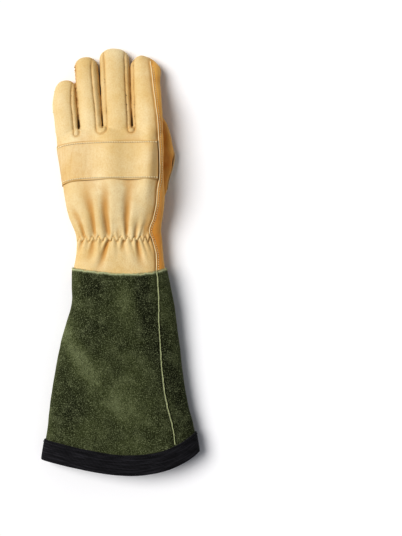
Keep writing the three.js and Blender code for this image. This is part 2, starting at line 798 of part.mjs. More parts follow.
function cuffRing(along, out, shift = 0) {
  return cuffAngles.map((angle) => {
    const y = cuffY(along, bulge(Math.cos(angle), cuffForm.power)) + shift;
    return skinPoint(cuffForm, y, angle, out);
  });
}

function gauntletCuff() {
  const places = [0, 0.07, 0.15, 0.24, 0.33, 0.44, 0.58, 0.72, 0.86, 1];
  const outer = places.map((place) => cuffRing(place, 0));
  const inner = places.map((place) => cuffRing(place, -suedeWall)).reverse();
  return solidOfRings([...outer, ...inner], true);
}

function cuffBinding() {
  const inner = -suedeWall - seamGap;
  const profile = [
    { up: bindingWidth, out: seamGap },
    { up: bindingWidth, out: seamGap + tapeWall },
    { up: -seamGap - tapeWall, out: seamGap + tapeWall },
    { up: -seamGap - tapeWall, out: inner - tapeWall },
    { up: bindingWidth, out: inner - tapeWall },
    { up: bindingWidth, out: inner },
    { up: -seamGap, out: inner },
    { up: -seamGap, out: seamGap },
  ];
  return solidOfRings(profile.map((corner) => cuffRing(1, corner.out, corner.up)), true);
}

function cuffSeamWelt() {
  const steps = 14;
  const last = 1 - (bindingWidth + 2 * seamGap) / cuffLength;
  const skinAt = (out) => {
    const grid = [];
    for (let i = 0; i <= steps; i += 1) {
      const along = last * i / steps;
      const at = blend(cuffRows, 'y', 'seam', cuffTopY - along * cuffLength);
      const y = cuffY(along, at);
      const half = sectionAt(cuffForm, y).half;
      const angles = [-0.5, 0.5].map((side) => angleOf(cuffForm, at + side * weltWidth / half));
      grid.push(angles.map((angle) => skinPoint(cuffForm, y, angle, out)));
    }
    return grid;
  };
  return solidOfGrids(skinAt(seamGap + weltRise), skinAt(seamGap));
}

// Folded tape: a flattened loop that lies under the cuff, open at its fold
function hangLoop() {
  const edges = [-0.5, 0.5].map((side) => (loopX + side * loopWidth) / (mouthWidth / 2));
  const rootY = Math.max(...edges.map((across) => cuffY(1, across))) + bindingWidth + 2 * seamGap;
  const loopEndY = rootY + loopLength;
  const profile = new THREE.Shape();
  const bend = tapeWall / 2;
  profile.moveTo(rootY, 0);
  profile.lineTo(loopEndY - bend, 0);
  profile.absarc(loopEndY - bend, bend, bend, -Math.PI / 2, Math.PI / 2, false);
  profile.lineTo(rootY, tapeWall);
  profile.lineTo(rootY, tapeWall - loopTape);
  profile.lineTo(loopEndY - bend, tapeWall - loopTape);
  profile.absarc(loopEndY - bend, bend, bend - loopTape, Math.PI / 2, -Math.PI / 2, true);
  profile.lineTo(rootY, loopTape);
  profile.closePath();
  const tape = { depth: loopWidth, bevelEnabled: false, curveSegments: 4 };
  const geometry = new THREE.ExtrudeGeometry(profile, tape);
  geometry.rotateX(Math.PI / 2);
  geometry.rotateZ(Math.PI / 2);
  geometry.translate(loopX - loopWidth / 2, 0, 0);
  return geometry;
}

const glove = new THREE.Group();

function addPiece(name, geometry, color, roughness) {
  const material = new THREE.MeshStandardMaterial({ color, roughness, metalness: 0 });
  const piece = new THREE.Mesh(geometry, material);
  piece.name = name;
  glove.add(piece);
}

addPiece('back_panel', backPanel(), colours.grain, 0.55);
addPiece('palm_panel', palmPanel(), colours.palm, 0.55);
addPiece('ring_front', fingerFront('ring'), colours.palm, 0.55);
addPiece('middle_front', fingerFront('middle'), colours.palm, 0.55);
for (const row of fourchetteTable) addPiece(row.name, fourchette(row), colours.grain, 0.55);
addPiece('thumb_outer', thumbOuter(), colours.palm, 0.55);
addPiece('thumb_inner', thumbInner(), colours.palm, 0.55);
addPiece('thumb_patch', thumbPatch(), colours.patch, 0.6);
addPiece('knuckle_band', knuckleBand(), colours.grain, 0.55);
addPiece('hand_seam_welt', handSeamWelt(), colours.patch, 0.8);
addPiece('gauntlet_cuff', gauntletCuff(), colours.suede, 0.95);
addPiece('cuff_seam_welt', cuffSeamWelt(), colours.rawEdge, 0.95);
addPiece('cuff_binding', cuffBinding(), colours.tape, 0.85);
addPiece('hang_loop', hangLoop(), colours.tape, 0.85);

// The finished glove stands on the origin, under the middle of its box
const box = new THREE.Box3().setFromObject(glove, true);
const centre = box.getCenter(new THREE.Vector3());
glove.position.set(-centre.x, -centre.y, -box.min.z);
glove.updateMatrixWorld(true);

export default glove;
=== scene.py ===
"""Rose pruning gauntlet for the left hand, lying palm down on a pale floor."""
import math
from collections import namedtuple

import bpy
import numpy as np
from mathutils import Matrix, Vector
from mathutils.bvhtree import BVHTree


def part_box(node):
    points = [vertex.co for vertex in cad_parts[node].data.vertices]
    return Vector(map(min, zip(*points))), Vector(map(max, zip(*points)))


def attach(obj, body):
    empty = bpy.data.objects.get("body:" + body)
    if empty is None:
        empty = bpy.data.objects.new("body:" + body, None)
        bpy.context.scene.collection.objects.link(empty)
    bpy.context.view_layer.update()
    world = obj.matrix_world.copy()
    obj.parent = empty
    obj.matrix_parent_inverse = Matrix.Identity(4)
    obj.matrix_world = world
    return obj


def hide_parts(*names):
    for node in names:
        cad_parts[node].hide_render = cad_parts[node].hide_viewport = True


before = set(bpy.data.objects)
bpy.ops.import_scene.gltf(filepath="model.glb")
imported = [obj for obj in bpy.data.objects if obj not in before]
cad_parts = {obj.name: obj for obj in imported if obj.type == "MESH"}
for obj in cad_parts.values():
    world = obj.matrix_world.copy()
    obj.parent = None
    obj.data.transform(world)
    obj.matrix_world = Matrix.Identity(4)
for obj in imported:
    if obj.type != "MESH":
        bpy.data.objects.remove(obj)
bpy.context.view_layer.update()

# Sizes in millimetres, the same as in the part's source
LEATHER_WALL = 1.2
SUEDE_WALL = 1.8
TAPE_WALL = 1.2
BAND_WALL = 1.2
PATCH_WALL = 1.0
SEAM_GAP = 0.3
PALM_LENGTH = 112
PALM_THICKNESS = 32
PALM_END_ROUND = 9
FINGER_GAP = 1.0
BAND_WIDTH = 41
BAND_FROM_CROTCH = 11.8
BAND_DIP = 5.4
WELT_WIDTH = 1.6
WELT_RISE = 1.0
FINGERTIP_ROUND = 13
INDEX_SLANT = 7
INDEX_SLANT_REACH = 30
THUMB_START = 20
THUMB_LENGTH = 119
THUMB_WIDTH = 45
THUMB_THICKNESS = 15.5
THUMBTIP_ROUND = 15
THUMB_SLOPE = 0.2
WRIST_SKIRT = 33
CUFF_OVERLAP = 12
CUFF_LENGTH = 195
CUFF_THICKNESS = 33
MOUTH_WIDTH = 164
TOP_SAG = 5.2
HEM_SAG = 19
SAG_LEAN = 0.5
HEM_SKEW = 4
BINDING_WIDTH = 20
LOOP_WIDTH = 9
LOOP_LENGTH = 19
LOOP_SLACK = 0.2
LOOP_PLACE = 0.595

# Finger sizes: width, length, thickness
FINGER_SIZES = {
    "little": (24.4, 54, 17),
    "ring": (24.6, 79, 19),
    "middle": (30, 88, 20),
    "index": (31.8, 81, 20),
}
HAND_WIDTH = sum(size[0] for size in FINGER_SIZES.values()) + 3 * FINGER_GAP
CUFF_TOP_Y = -WRIST_SKIRT
SKIRT_END_Y = CUFF_TOP_Y - CUFF_OVERLAP
INSIDE_CUFF = SUEDE_WALL + SEAM_GAP
CUFF_LIFT = TAPE_WALL + SEAM_GAP

# Mesh spacing and counts, stitches, and how square the sections are
VOXEL = 0.9
PALM_STEP = 2.0
THUMB_STEP = 0.9
CUFF_STEP = 1.35
CUT_SHARE = 0.06
RELAX_TIMES = 12
RELAX_SHARES = (0.60, -0.62)
ABOVE_FLOOR = 0.02
STITCH_RADIUS = 0.64
STITCH_PITCH = 2.5
STITCH_LENGTH = 1.45
SEAM_STITCH_RADIUS = 0.30
PALM_STITCH_LENGTH = 1.5
PALM_STITCH_OFFSETS = (1.2, 3.6)
BINDING_STITCH_INSET = 2.4
BINDING_STITCH_PITCH = 2.6
BINDING_STITCH_LENGTH = 1.7
BINDING_STITCH_RADIUS = 0.26
HOLE_LENGTH = 0.95
BAND_HOLE_RADIUS = 0.22
SEAM_HOLE_RADIUS = 0.42
FINGER_POWER = 2.15
FLAT_POWER = 2.5
THUMB_POWER = 2.3
TIP_POWER = 2.3
BAND_GRID = (46, 190)
PATCH_GRID = (54, 70)
PATCH_REACH = (0.25, 0.59)
PATCH_TURN = (1.52, 1.955)
PALM_AROUND = 150
FINGER_AROUND = 90
THUMB_AROUND = 110
CUFF_AROUND = 250
BINDING_AROUND = 420
FIBRES = 1500
FIBRE_LENGTH = (0.5, 1.5)
FIBRE_WIDTH = 0.16
FAR_OFF = 99.0

# The middle finger ends at the back panel's far end, which ties the sizes to the frame
FAR_END_Y = PALM_LENGTH + FINGER_SIZES["middle"][1]
SHIFT_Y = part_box("back_panel")[1].y * 1000 - FAR_END_Y

# Cuff from its top to its hem, as shares of the mouth's width and the cuff's thickness, with its
# seam as a share of the half width
CUFF_COLUMNS = ("along", "left", "right", "thick", "mid", "seam")
CUFF_ROWS = (
    (-0.10, -0.305, 0.285, 1.00, 0.50, 0.78),
    (0.00, -0.313, 0.296, 1.00, 0.50, 0.785),
    (0.08, -0.316, 0.317, 0.99, 0.50, 0.745),
    (0.19, -0.318, 0.341, 0.95, 0.48, 0.70),
    (0.29, -0.352, 0.356, 0.91, 0.46, 0.685),
    (0.40, -0.386, 0.373, 0.89, 0.45, 0.685),
    (0.57, -0.424, 0.397, 0.87, 0.45, 0.685),
    (0.74, -0.452, 0.434, 0.85, 0.44, 0.70),
    (0.84, -0.467, 0.467, 0.84, 0.43, 0.71),
    (1.00, -0.500, 0.500, 0.84, 0.43, 0.71),
    (1.12, -0.515, 0.515, 0.84, 0.43, 0.71),
)

# Palm, as shares of its length, of the hand's width and of the palm's thickness
PALM_COLUMNS = ("along", "left", "right", "thick")
PALM_ROWS = (
    (-0.13, -0.412, 0.386, 0.80),
    (0.00, -0.412, 0.376, 0.74),
    (0.06, -0.429, 0.370, 0.78),
    (0.19, -0.483, 0.390, 0.90),
    (0.33, -0.515, 0.406, 0.98),
    (0.50, -0.542, 0.402, 1.00),
    (0.67, -0.566, 0.396, 0.96),
    (0.80, -0.588, 0.398, 0.88),
    (0.90, -0.599, 0.397, 0.78),
    (1.00, -0.605, 0.395, 0.66),
    (1.05, -0.605, 0.395, 0.60),
)
CROTCH_ROW = 9

# Middle height of the hand on its little and its index side, as shares of the palm's thickness
MIDDLE_COLUMNS = ("along", "little", "index")
MIDDLE_ROWS = (
    (-0.13, 0.46, 0.48),
    (0.00, 0.43, 0.52),
    (0.20, 0.40, 0.68),
    (0.50, 0.37, 0.96),
    (0.75, 0.35, 0.99),
    (1.00, 0.31, 0.93),
    (1.20, 0.28, 0.85),
    (1.50, 0.25, 0.48),
    (1.70, 0.20, 0.28),
    (1.80, 0.18, 0.25),
)

# Fingers, each as shares of its own length, width and thickness
FINGER_COLUMNS = ("along", "shift", "wide", "thick")
FINGER_ROWS = {
    "little": (
        (-0.50, 0.00, 0.76, 0.70),
        (-0.22, 0.00, 0.86, 0.84),
        (0.00, -0.015, 1.03, 1.00),
        (0.25, -0.07, 1.05, 1.00),
        (0.50, -0.135, 1.07, 0.98),
        (0.75, -0.115, 0.98, 0.94),
        (1.00, -0.06, 0.90, 0.88),
    ),
    "ring": (
        (-0.30, 0.00, 0.76, 0.70),
        (-0.13, 0.00, 0.86, 0.84),
        (0.00, 0.00, 1.00, 1.00),
        (0.30, -0.075, 0.99, 1.00),
        (0.60, -0.185, 1.01, 0.98),
        (0.85, -0.255, 1.02, 0.92),
        (1.00, -0.235, 0.99, 0.86),
    ),
    "middle": (
        (-0.28, 0.00, 0.76, 0.70),
        (-0.12, 0.00, 0.86, 0.84),
        (0.00, 0.00, 1.00, 1.00),
        (0.38, -0.07, 1.01, 1.00),
        (0.65, -0.115, 1.01, 0.98),
        (0.87, -0.155, 1.02, 0.92),
        (1.00, -0.175, 1.04, 0.86),
    ),
    "index": (
        (-0.30, 0.00, 0.76, 0.70),
        (-0.13, 0.00, 0.86, 0.84),
        (0.00, 0.00, 1.00, 1.00),
        (0.42, -0.06, 0.98, 1.00),
        (0.60, -0.09, 0.97, 0.98),
        (0.83, -0.095, 0.985, 0.92),
        (1.00, -0.10, 0.96, 0.86),
    ),
}

# Thumb: its middle as a share of the hand's width, the rest as shares of its own sizes
THUMB_COLUMNS = ("along", "middle", "wide", "thick", "mid")
THUMB_ROWS = (
    (0.00, 0.150, 0.62, 0.55, 1.04),
    (0.10, 0.190, 0.88, 0.80, 0.78),
    (0.22, 0.218, 1.00, 1.00, 0.60),
    (0.34, 0.245, 0.98, 1.04, 0.52),
    (0.49, 0.313, 0.86, 1.06, 0.50),
    (0.58, 0.335, 0.78, 1.06, 0.50),
    (0.68, 0.334, 0.69, 1.02, 0.49),
    (0.82, 0.324, 0.54, 0.96, 0.47),
    (0.90, 0.297, 0.48, 0.92, 0.46),
    (1.00, 0.265, 0.44, 0.88, 0.44),
)

# Seam on the back of the hand, as shares of the palm's length and the hand's width,
# and how far the leather's pull moves it towards the thumb
SEAM_PULL = 1.7
SEAM_COLUMNS = ("along", "at")
SEAM_ROWS = (
    (-0.40, 0.316),
    (-0.17, 0.315),
    (-0.04, 0.286),
    (0.06, 0.254),
    (0.17, 0.290),
    (0.31, 0.321),
    (0.43, 0.331),
    (0.55, 0.350),
    (0.76, 0.350),
    (0.90, 0.341),
    (1.07, 0.333),
    (1.24, 0.312),
    (1.39, 0.291),
    (1.54, 0.274),
    (1.66, 0.257),
    (1.80, 0.250),
)

# Side strips between fingers: the seam on each finger as a share of its half width, and how far
# the strip's foot reaches below the crotches in millimetres
Strip = namedtuple("Strip", "name left left_at right right_at foot_below")
STRIPS = (
    Strip("fourchette_little_ring", "little", 0.62, "ring", -0.97, 6.5),
    Strip("fourchette_ring_middle", "ring", 0.50, "middle", -0.72, 4.8),
    Strip("fourchette_middle_index", "middle", 0.74, "index", -0.85, 3.4),
)

# Tips of the tucks along the wrist seam, as shares of the hand's width
TUCKS = (-0.462, -0.399, -0.349, -0.286, -0.223, -0.167, -0.091,
         -0.030, 0.040, 0.102, 0.155, 0.205, 0.252, 0.30)
GAP_DEPTH = 3.0
STITCH_INSET = 2.0
BAND_STITCH_INSET = 2.3
TUCK_ZIGZAG = 2.2
TUCK_RISE = 2.1
TUCK_GROOVE = 1.3
GATHER_Y = -2.0

# Rows of stitches round the base of the thumb: the middle and reach of their curve, as shares of
# the hand's width and the palm's length, and its start and end in half turns
THUMB_BASE_MIDDLE = (0.225, 0.42)
THUMB_BASE_REACH = (0.30, 0.40)
THUMB_BASE_TURN = (0.55, 1.42)

# Corners of a raised raw edge: shares of its width across and of its rise up
WELT_PROFILE = ((-0.62, -1.0), (-0.55, 0.62), (-0.22, 1.02), (0.18, 1.0), (0.50, 0.55), (0.62, -1.0))

# Panels in the palm side's leather, a warmer, deeper copy of the grain painted to stand in for shade
PALM_SIDE = ("palm_panel", "ring_front", "middle_front")

# Folds of the back: the near end on the wrist seam, across and along at the far end, as shares
# of the hand's width and the palm's length, deep and wide in millimetres
FOLD_ROWS = (
    # near, far, reach, deep, wide
    (0.058, 0.078, 0.56, 3.6, 2.7),
    (-0.088, -0.160, 0.58, 3.8, 4.2),
    (-0.211, -0.350, 0.56, 3.4, 4.0),
    (-0.325, -0.460, 0.38, 2.6, 3.4),
    (0.135, 0.150, 0.20, 1.9, 2.4),
    (0.205, 0.290, 0.28, 1.6, 3.0),
    (-0.010, -0.020, 0.20, 1.2, 2.2),
    (-0.090, -0.211, -0.31, 3.9, 2.8),
    (-0.228, -0.305, -0.24, 2.5, 3.4),
    (0.038, 0.015, -0.15, 1.9, 2.2),
    (0.150, 0.195, -0.30, 2.8, 3.4),
    (-0.350, -0.410, -0.16, 1.5, 2.4),
)

# Brushed areas of the cuff's suede, partly painted light and shade of its soft folds: where each is,
# across the cuff's middle and along it from its top, its size and lean in millimetres, and how much it
# lightens or darkens
BRUSHED_AND_SHADED_ROWS = (
    # x, along, wide, long, lean, amount
    (-31, 24, 13, 15, 0.0, -0.60),
    (-48, 12, 7, 16, 0.0, 0.35),
    (4, 30, 14, 34, 0.0, 0.30),
    (-43, 92, 12, 52, 0.62, 0.75),
    (-36, 56, 14, 12, 0.1, -0.35),
    (24, 24, 9, 30, 0.0, -0.50),
    (32, 84, 12, 60, 0.15, -0.40),
    (52, 110, 11, 80, 0.30, -0.65),
    (6, 152, 14, 26, 0.3, 0.30),
    (-52, 148, 16, 22, 0.1, -0.25),
)

# Ridges over the knuckle bones: across at the wrist and at the crotches as shares of the hand's
# width, high and wide in millimetres
RIDGE_ROWS = (
    # wrist, crotch, high, wide
    (-0.07, -0.100, 3.8, 13.0),
    (0.22, 0.275, 3.8, 8.0),
    (-0.36, -0.480, 2.0, 12.0),
)

# Colours, as red, green and blue shares on the display; the deep colours also serve as painted shade
GRAIN = ((0.912, 0.843, 0.680), (0.868, 0.765, 0.555), (0.765, 0.560, 0.265))
# Palm side's leather: the grain's colours made warmer and deeper as painted shade of the wrap and the
# thumb
SHADED_PALM_GRAIN = ((0.975, 0.805, 0.500), (0.940, 0.725, 0.360), (0.800, 0.460, 0.090))
PALE_GRAIN = ((0.960, 0.880, 0.700), (0.915, 0.810, 0.600), (0.760, 0.560, 0.300))
SUEDE = ((0.125, 0.138, 0.078), (0.315, 0.338, 0.220), (0.600, 0.625, 0.490))
RAW_EDGE = ((0.600, 0.640, 0.440), (0.800, 0.820, 0.660), (0.920, 0.930, 0.820))
SEAM_EDGE = ((0.300, 0.330, 0.210), (0.640, 0.660, 0.500), (0.820, 0.830, 0.700))
CUT_LEATHER = ((0.860, 0.780, 0.580), (0.990, 0.945, 0.820), (1.000, 0.980, 0.920))
BLACK_TAPE = ((0.075, 0.073, 0.080), (0.135, 0.132, 0.145), (0.250, 0.247, 0.265))
THREAD = ((0.960, 0.890, 0.700), (1.000, 0.960, 0.820), (1.000, 0.985, 0.900))
# Dark brown for the needle holes: painted shade inside them
NEEDLE_HOLE_SHADE = ((0.210, 0.120, 0.055), (0.380, 0.235, 0.115), (0.520, 0.350, 0.190))
BLACK_THREAD = ((0.030, 0.030, 0.033), (0.090, 0.090, 0.100), (0.200, 0.200, 0.210))
FLOOR = ((0.960, 0.960, 0.965), (0.975, 0.975, 0.980), (0.985, 0.985, 0.990))

# Camera, light and floor
PIXEL_MM = 1.05
VIEW_X = 84.2
VIEW_Y = -7.9
VIEW_HEIGHT = 1300
OBJECT_MIDDLE_Z = 18
FRAME_PIXELS = 536
LIGHT_FROM = (-0.66, 0.22, 0.95)
LIGHT_STRENGTH = 2.15
LIGHT_ANGLE = 40
LIGHT_COLOUR = (1.0, 0.985, 0.965)
SKY_STRENGTH = 0.22
SKY_COLOUR = (0.93, 0.95, 1.0, 1.0)
FLOOR_REACH = 4.0


# Tables and smooth values

def table(columns, rows, **factors):
    """Columns of a table by name, each times its factor where it has one."""
    return {name: np.array([row[k] for row in rows], float) * factors.get(name, 1.0)
            for k, name in enumerate(columns)}


def blend(values, column, place):
    """Smooth value of one column at a place along the table's y."""
    keys = values["y"]
    column_values = values[column]
    place = np.asarray(place, float)
    last = len(keys) - 1
    before = np.maximum(np.arange(last + 1) - 1, 0)
    after = np.minimum(np.arange(last + 1) + 1, last)
    slopes = (column_values[after] - column_values[before]) / (keys[after] - keys[before])
    i = np.clip(np.searchsorted(keys, place) - 1, 0, last - 1)
    span = keys[i + 1] - keys[i]
    t = np.clip((place - keys[i]) / span, 0, 1)
    rise = column_values[i + 1] - column_values[i]
    bend = (1 - t) * (slopes[i] * span - rise) - t * (slopes[i + 1] * span - rise)
    return column_values[i] + rise * t + t * (1 - t) * bend


def smooth_step(value):
    value = np.clip(value, 0, 1)
    return value * value * (3 - 2 * value)


def bulge(value, power):
    return np.sign(value) * np.abs(value) ** (2 / power)


def fade(value, start, length):
    """Rises smoothly from 0 at the start to 1 after the length."""
    return smooth_step((value - start) / length)


def bell(distance, width):
    return np.exp(-((distance / width) ** 2))


def lattice(corner, seed):
    """Repeatable value from 0 to 1 for each whole-numbered corner of space."""
    mixed = corner[..., 0] * 374761393 + corner[..., 1] * 668265263 + corner[..., 2] * 2147483647
    mixed = (mixed + seed * 1274126177) & 0xFFFFFFFF
    mixed = ((mixed ^ (mixed >> 13)) * 1103515245) & 0xFFFFFFFF
    return ((mixed ^ (mixed >> 16)) & 0xFFFF) / 65535.0


def noise(points, size, seed, stretch=(1.0, 1.0, 1.0)):
    """Soft noise from -1 to 1 whose lumps are about as large as size."""
    place = points * np.array(stretch) / size
    cell = np.floor(place).astype(np.int64)
    t = place - cell
    t = t * t * (3 - 2 * t)
    total = np.zeros(len(points))
    for step in np.ndindex(2, 2, 2):
        weight = np.where(step, t, 1 - t)
        total += weight[:, 0] * weight[:, 1] * weight[:, 2] * lattice(cell + np.array(step), seed)
    return total * 2 - 1


# Forms of the glove. Each is a row of rounded sections across the glove.

class Form:
    def __init__(self, values, power, middle, level, tip=None, slant=0.0):
        self.values = values
        self.power = power
        self.middle = middle
        self.level = level
        self.tip = tip
        self.slant = slant

    def at(self, column, y):
        return blend(self.values, column, y)

    def share(self, y, out):
        """Share of the full section that is left near a rounded end."""
        if self.tip is None:
            return np.ones_like(np.asarray(y, float))
        tip_y, tip_round = self.tip
        tip_round = tip_round + out
        past = np.clip((y - (tip_y + out - tip_round)) / tip_round, 0, 1)
        return (1 - past ** TIP_POWER) ** (1 / TIP_POWER)

    def section(self, y, out=0.0):
        left = self.at("left", y)
        right = self.at("right", y)
        share = self.share(y, out)
        half = ((right - left) / 2 + out) * share
        rise = (self.at("thick", y) / 2 + out) * share
        return (left + right) / 2, half, rise

    def fall(self, x, y):
        """How far a slanted tip falls back towards its thumb side."""
        if not self.slant:
            return np.zeros(np.shape(x))
        left = self.at("left", y)
        across = (x - left) / (self.at("right", y) - left)
        near = smooth_step(1 - (self.tip[0] - y) / INDEX_SLANT_REACH)
        return self.slant * near * np.clip((across - 0.35) / 0.65, 0, 1)

    def skin(self, y, angle, out=0.0):
        """Points of the skin in the planes y, at angles round from the thumb side."""
        y, angle, out = np.broadcast_arrays(y, angle, out)
        middle, half, rise = self.section(y, out)
        x = middle + half * bulge(np.cos(angle), self.power)
        z = self.middle(x, y) + rise * bulge(np.sin(angle), self.power)
        z = np.maximum(z, self.level(y) - out)
        return np.stack([x, y - self.fall(x, y), z], axis=-1)

    def inside(self, points):
        """Below zero inside the form, above zero outside it."""
        x, y, z = points.T
        middle, half, rise = self.section(y)
        across = np.abs(x - middle) / np.maximum(half, 1e-6)
        up = np.abs(z - self.middle(x, y)) / np.maximum(rise, 1e-6)
        return (across ** self.power + up ** self.power) ** (1 / self.power) - 1

    def angle_of(self, share):
        """Angle at which the skin has a given share of its half width."""
        share = np.clip(share, -1, 1)
        return np.arccos(np.sign(share) * np.abs(share) ** (self.power / 2))


def with_y(values, factor, shift=0.0):
    values = dict(values)
    values["y"] = values["along"] * factor + shift
    order = np.argsort(values["y"])
    return {name: column[order] for name, column in values.items()}


def make_cuff_form():
    values = table(CUFF_COLUMNS, CUFF_ROWS, left=MOUTH_WIDTH, right=MOUTH_WIDTH,
                   thick=CUFF_THICKNESS, mid=CUFF_THICKNESS)
    values["lift"] = CUFF_LIFT * smooth_step((values["along"] - 0.35) * 3)
    values = with_y(values, -CUFF_LENGTH, CUFF_TOP_Y)
    return Form(values, FLAT_POWER, lambda x, y: blend(values, "mid", y),
                lambda y: blend(values, "lift", y))


cuff_form = make_cuff_form()
skirt_ys = np.array([SKIRT_END_Y - CUFF_OVERLAP, SKIRT_END_Y, CUFF_TOP_Y])
knuckle_left = PALM_ROWS[CROTCH_ROW][1] * HAND_WIDTH


def make_middle_values():
    values = table(MIDDLE_COLUMNS, MIDDLE_ROWS, little=PALM_THICKNESS, index=PALM_THICKNESS)
    values = with_y(values, PALM_LENGTH)
    cuff_middle = cuff_form.at("mid", skirt_ys)
    return {
        "y": np.concatenate([skirt_ys, values["y"]]),
        "little": np.concatenate([cuff_middle, values["little"]]),
        "index": np.concatenate([cuff_middle, values["index"]]),
    }


middle_values = make_middle_values()


def middle_height(x, y):
    little = blend(middle_values, "little", y)
    index = blend(middle_values, "index", y)
    return little + (index - little) * (x - knuckle_left) / HAND_WIDTH


def make_palm_form():
    values = table(PALM_COLUMNS, PALM_ROWS, left=HAND_WIDTH, right=HAND_WIDTH, thick=PALM_THICKNESS)
    values = with_y(values, PALM_LENGTH)
    skirt = {
        "y": skirt_ys,
        "left": cuff_form.at("left", skirt_ys) + INSIDE_CUFF,
        "right": cuff_form.at("right", skirt_ys) - INSIDE_CUFF,
        "thick": cuff_form.at("thick", skirt_ys) - 2 * INSIDE_CUFF,
        "lift": np.full(3, INSIDE_CUFF),
    }
    values["lift"] = np.where(values["along"] < 0, INSIDE_CUFF / 2, 0.0)
    merged = {name: np.concatenate([skirt[name], values[name]]) for name in skirt}
    tip = (PALM_LENGTH + PALM_END_ROUND / 2, PALM_END_ROUND)
    return Form(merged, FLAT_POWER, middle_height, lambda y: blend(merged, "lift", y), tip)


def make_finger_form(name, start_x):
    width, length, thickness = FINGER_SIZES[name]
    rows = table(FINGER_COLUMNS, FINGER_ROWS[name])
    middle = start_x + width / 2 + rows["shift"] * width
    values = {
        "y": PALM_LENGTH + rows["along"] * length,
        "left": middle - rows["wide"] * width / 2,
        "right": middle + rows["wide"] * width / 2,
        "thick": rows["thick"] * thickness,
    }
    tip = (PALM_LENGTH + length, FINGERTIP_ROUND)
    slant = INDEX_SLANT if name == "index" else 0.0
    return Form(values, FINGER_POWER, middle_height, lambda y: 0.0, tip, slant)


def make_finger_forms():
    forms = {}
    start_x = knuckle_left
    for name, size in FINGER_SIZES.items():
        forms[name] = make_finger_form(name, start_x)
        start_x += size[0] + FINGER_GAP
    return forms


def make_thumb_form():
    rows = table(THUMB_COLUMNS, THUMB_ROWS, middle=HAND_WIDTH, wide=THUMB_WIDTH,
                 thick=THUMB_THICKNESS, mid=THUMB_THICKNESS)
    bottom = PATCH_WALL + SEAM_GAP
    values = {
        "y": THUMB_START + rows["along"] * THUMB_LENGTH,
        "left": rows["middle"] - rows["wide"] / 2,
        "right": rows["middle"] + rows["wide"] / 2,
        "thick": rows["thick"],
        "mid": rows["mid"] + bottom,
    }

    def middle(x, y):
        centre = (blend(values, "left", y) + blend(values, "right", y)) / 2
        return blend(values, "mid", y) + THUMB_SLOPE * (x - centre)

    tip = (THUMB_START + THUMB_LENGTH, THUMBTIP_ROUND)
    return Form(values, THUMB_POWER, middle, lambda y: bottom, tip)


palm_form = make_palm_form()
finger_forms = make_finger_forms()
thumb_form = make_thumb_form()
seam_values = with_y(table(SEAM_COLUMNS, SEAM_ROWS), PALM_LENGTH)


def seam_x(y):
    return blend(seam_values, "at", y) * HAND_WIDTH + SEAM_PULL


def finger_seam_x(name, y, at):
    form = finger_forms[name]
    left = form.at("left", y)
    right = form.at("right", y)
    return (left + right) / 2 + at * (right - left) / 2


# Meshes as arrays of points and triangles

def grid_faces(rows, columns, wrap=False):
    i = np.arange(rows - 1)[:, None]
    j = np.arange(columns if wrap else columns - 1)[None, :]
    k = (j + 1) % columns
    quads = np.stack([i * columns + j, i * columns + k, (i + 1) * columns + k, (i + 1) * columns + j], -1)
    return quads.reshape(-1, 4)


def closed_faces(rows, columns):
    """Faces of a tube of rings with both ends capped."""
    faces = grid_faces(rows, columns, wrap=True).tolist()
    faces.append(list(range(columns))[::-1])
    faces.append(list(range((rows - 1) * columns, rows * columns)))
    return faces


def triangles_of(quads):
    return np.concatenate([quads[:, [0, 1, 2]], quads[:, [0, 2, 3]]])


def normals_of(points, triangles):
    a, b, c = (points[triangles[:, k]] for k in range(3))
    flat = np.cross(b - a, c - a)
    total = np.zeros_like(points)
    for k in range(3):
        for axis in range(3):
            total[:, axis] += np.bincount(triangles[:, k], weights=flat[:, axis], minlength=len(points))
    length = np.linalg.norm(total, axis=1, keepdims=True)
    return total / np.maximum(length, 1e-9)


def facing_out(points, triangles):
    """Triangles turned so that a nearly closed skin faces outward."""
    a, b, c = (points[triangles[:, k]] - points.mean(0) for k in range(3))
    volume = np.einsum("ij,ij->i", a, np.cross(b, c)).sum()
    return triangles if volume > 0 else triangles[:, ::-1]


def quads_out(points, quads):
    triangles = triangles_of(quads)
    return quads if facing_out(points, triangles) is triangles else quads[:, ::-1]


def relax(points, triangles):
    """Evens out small steps without shrinking the form."""
    edges = np.concatenate([triangles[:, [0, 1]], triangles[:, [1, 2]], triangles[:, [2, 0]]])
    count = np.bincount(edges.ravel(), minlength=len(points))[:, None]
    for step in range(RELAX_TIMES):
        share = RELAX_SHARES[step % 2]
        total = np.zeros_like(points)
        for axis in range(3):
            total[:, axis] = np.bincount(edges[:, 0], points[edges[:, 1], axis], len(points))
            total[:, axis] += np.bincount(edges[:, 1], points[edges[:, 0], axis], len(points))
        points = points + share * (total / count - points)
    return points


def cut(points, triangles, value):
    """Splits the triangles along the line where value is zero."""
    side = value > 0
    corners = side[triangles]
    mixed = corners.any(1) & ~corners.all(1)
    whole = triangles[~mixed]
    split = triangles[mixed]
    if len(split) == 0:
        return points, triangles
    sides = side[split]
    count = sides.sum(1)
    lone = np.where(count == 1, np.argmax(sides, 1), np.argmin(sides, 1))
    order = (lone[:, None] + np.arange(3)) % 3
    a, b, c = np.take_along_axis(split, order, 1).T
    size = len(points)
    keys = np.concatenate([np.minimum(a, b) * size + np.maximum(a, b),
                           np.minimum(a, c) * size + np.maximum(a, c)])
    unique, found = np.unique(keys, return_inverse=True)
    low, high = unique // size, unique % size
    t = np.clip(value[low] / (value[low] - value[high]), CUT_SHARE, 1 - CUT_SHARE)[:, None]
    added = points[low] + t * (points[high] - points[low])
    p = size + found[:len(a)]
    q = size + found[len(a):]
    parts = [whole, np.stack([a, p, q], 1), np.stack([p, b, c], 1), np.stack([p, c, q], 1)]
    return np.concatenate([points, added]), np.concatenate(parts)


def piece_of(points, triangles, keep, *values):
    """The kept triangles with only their own points and values."""
    kept = triangles[keep]
    used, found = np.unique(kept, return_inverse=True)
    return (points[used], found.reshape(-1, 3), *[value[used] for value in values])


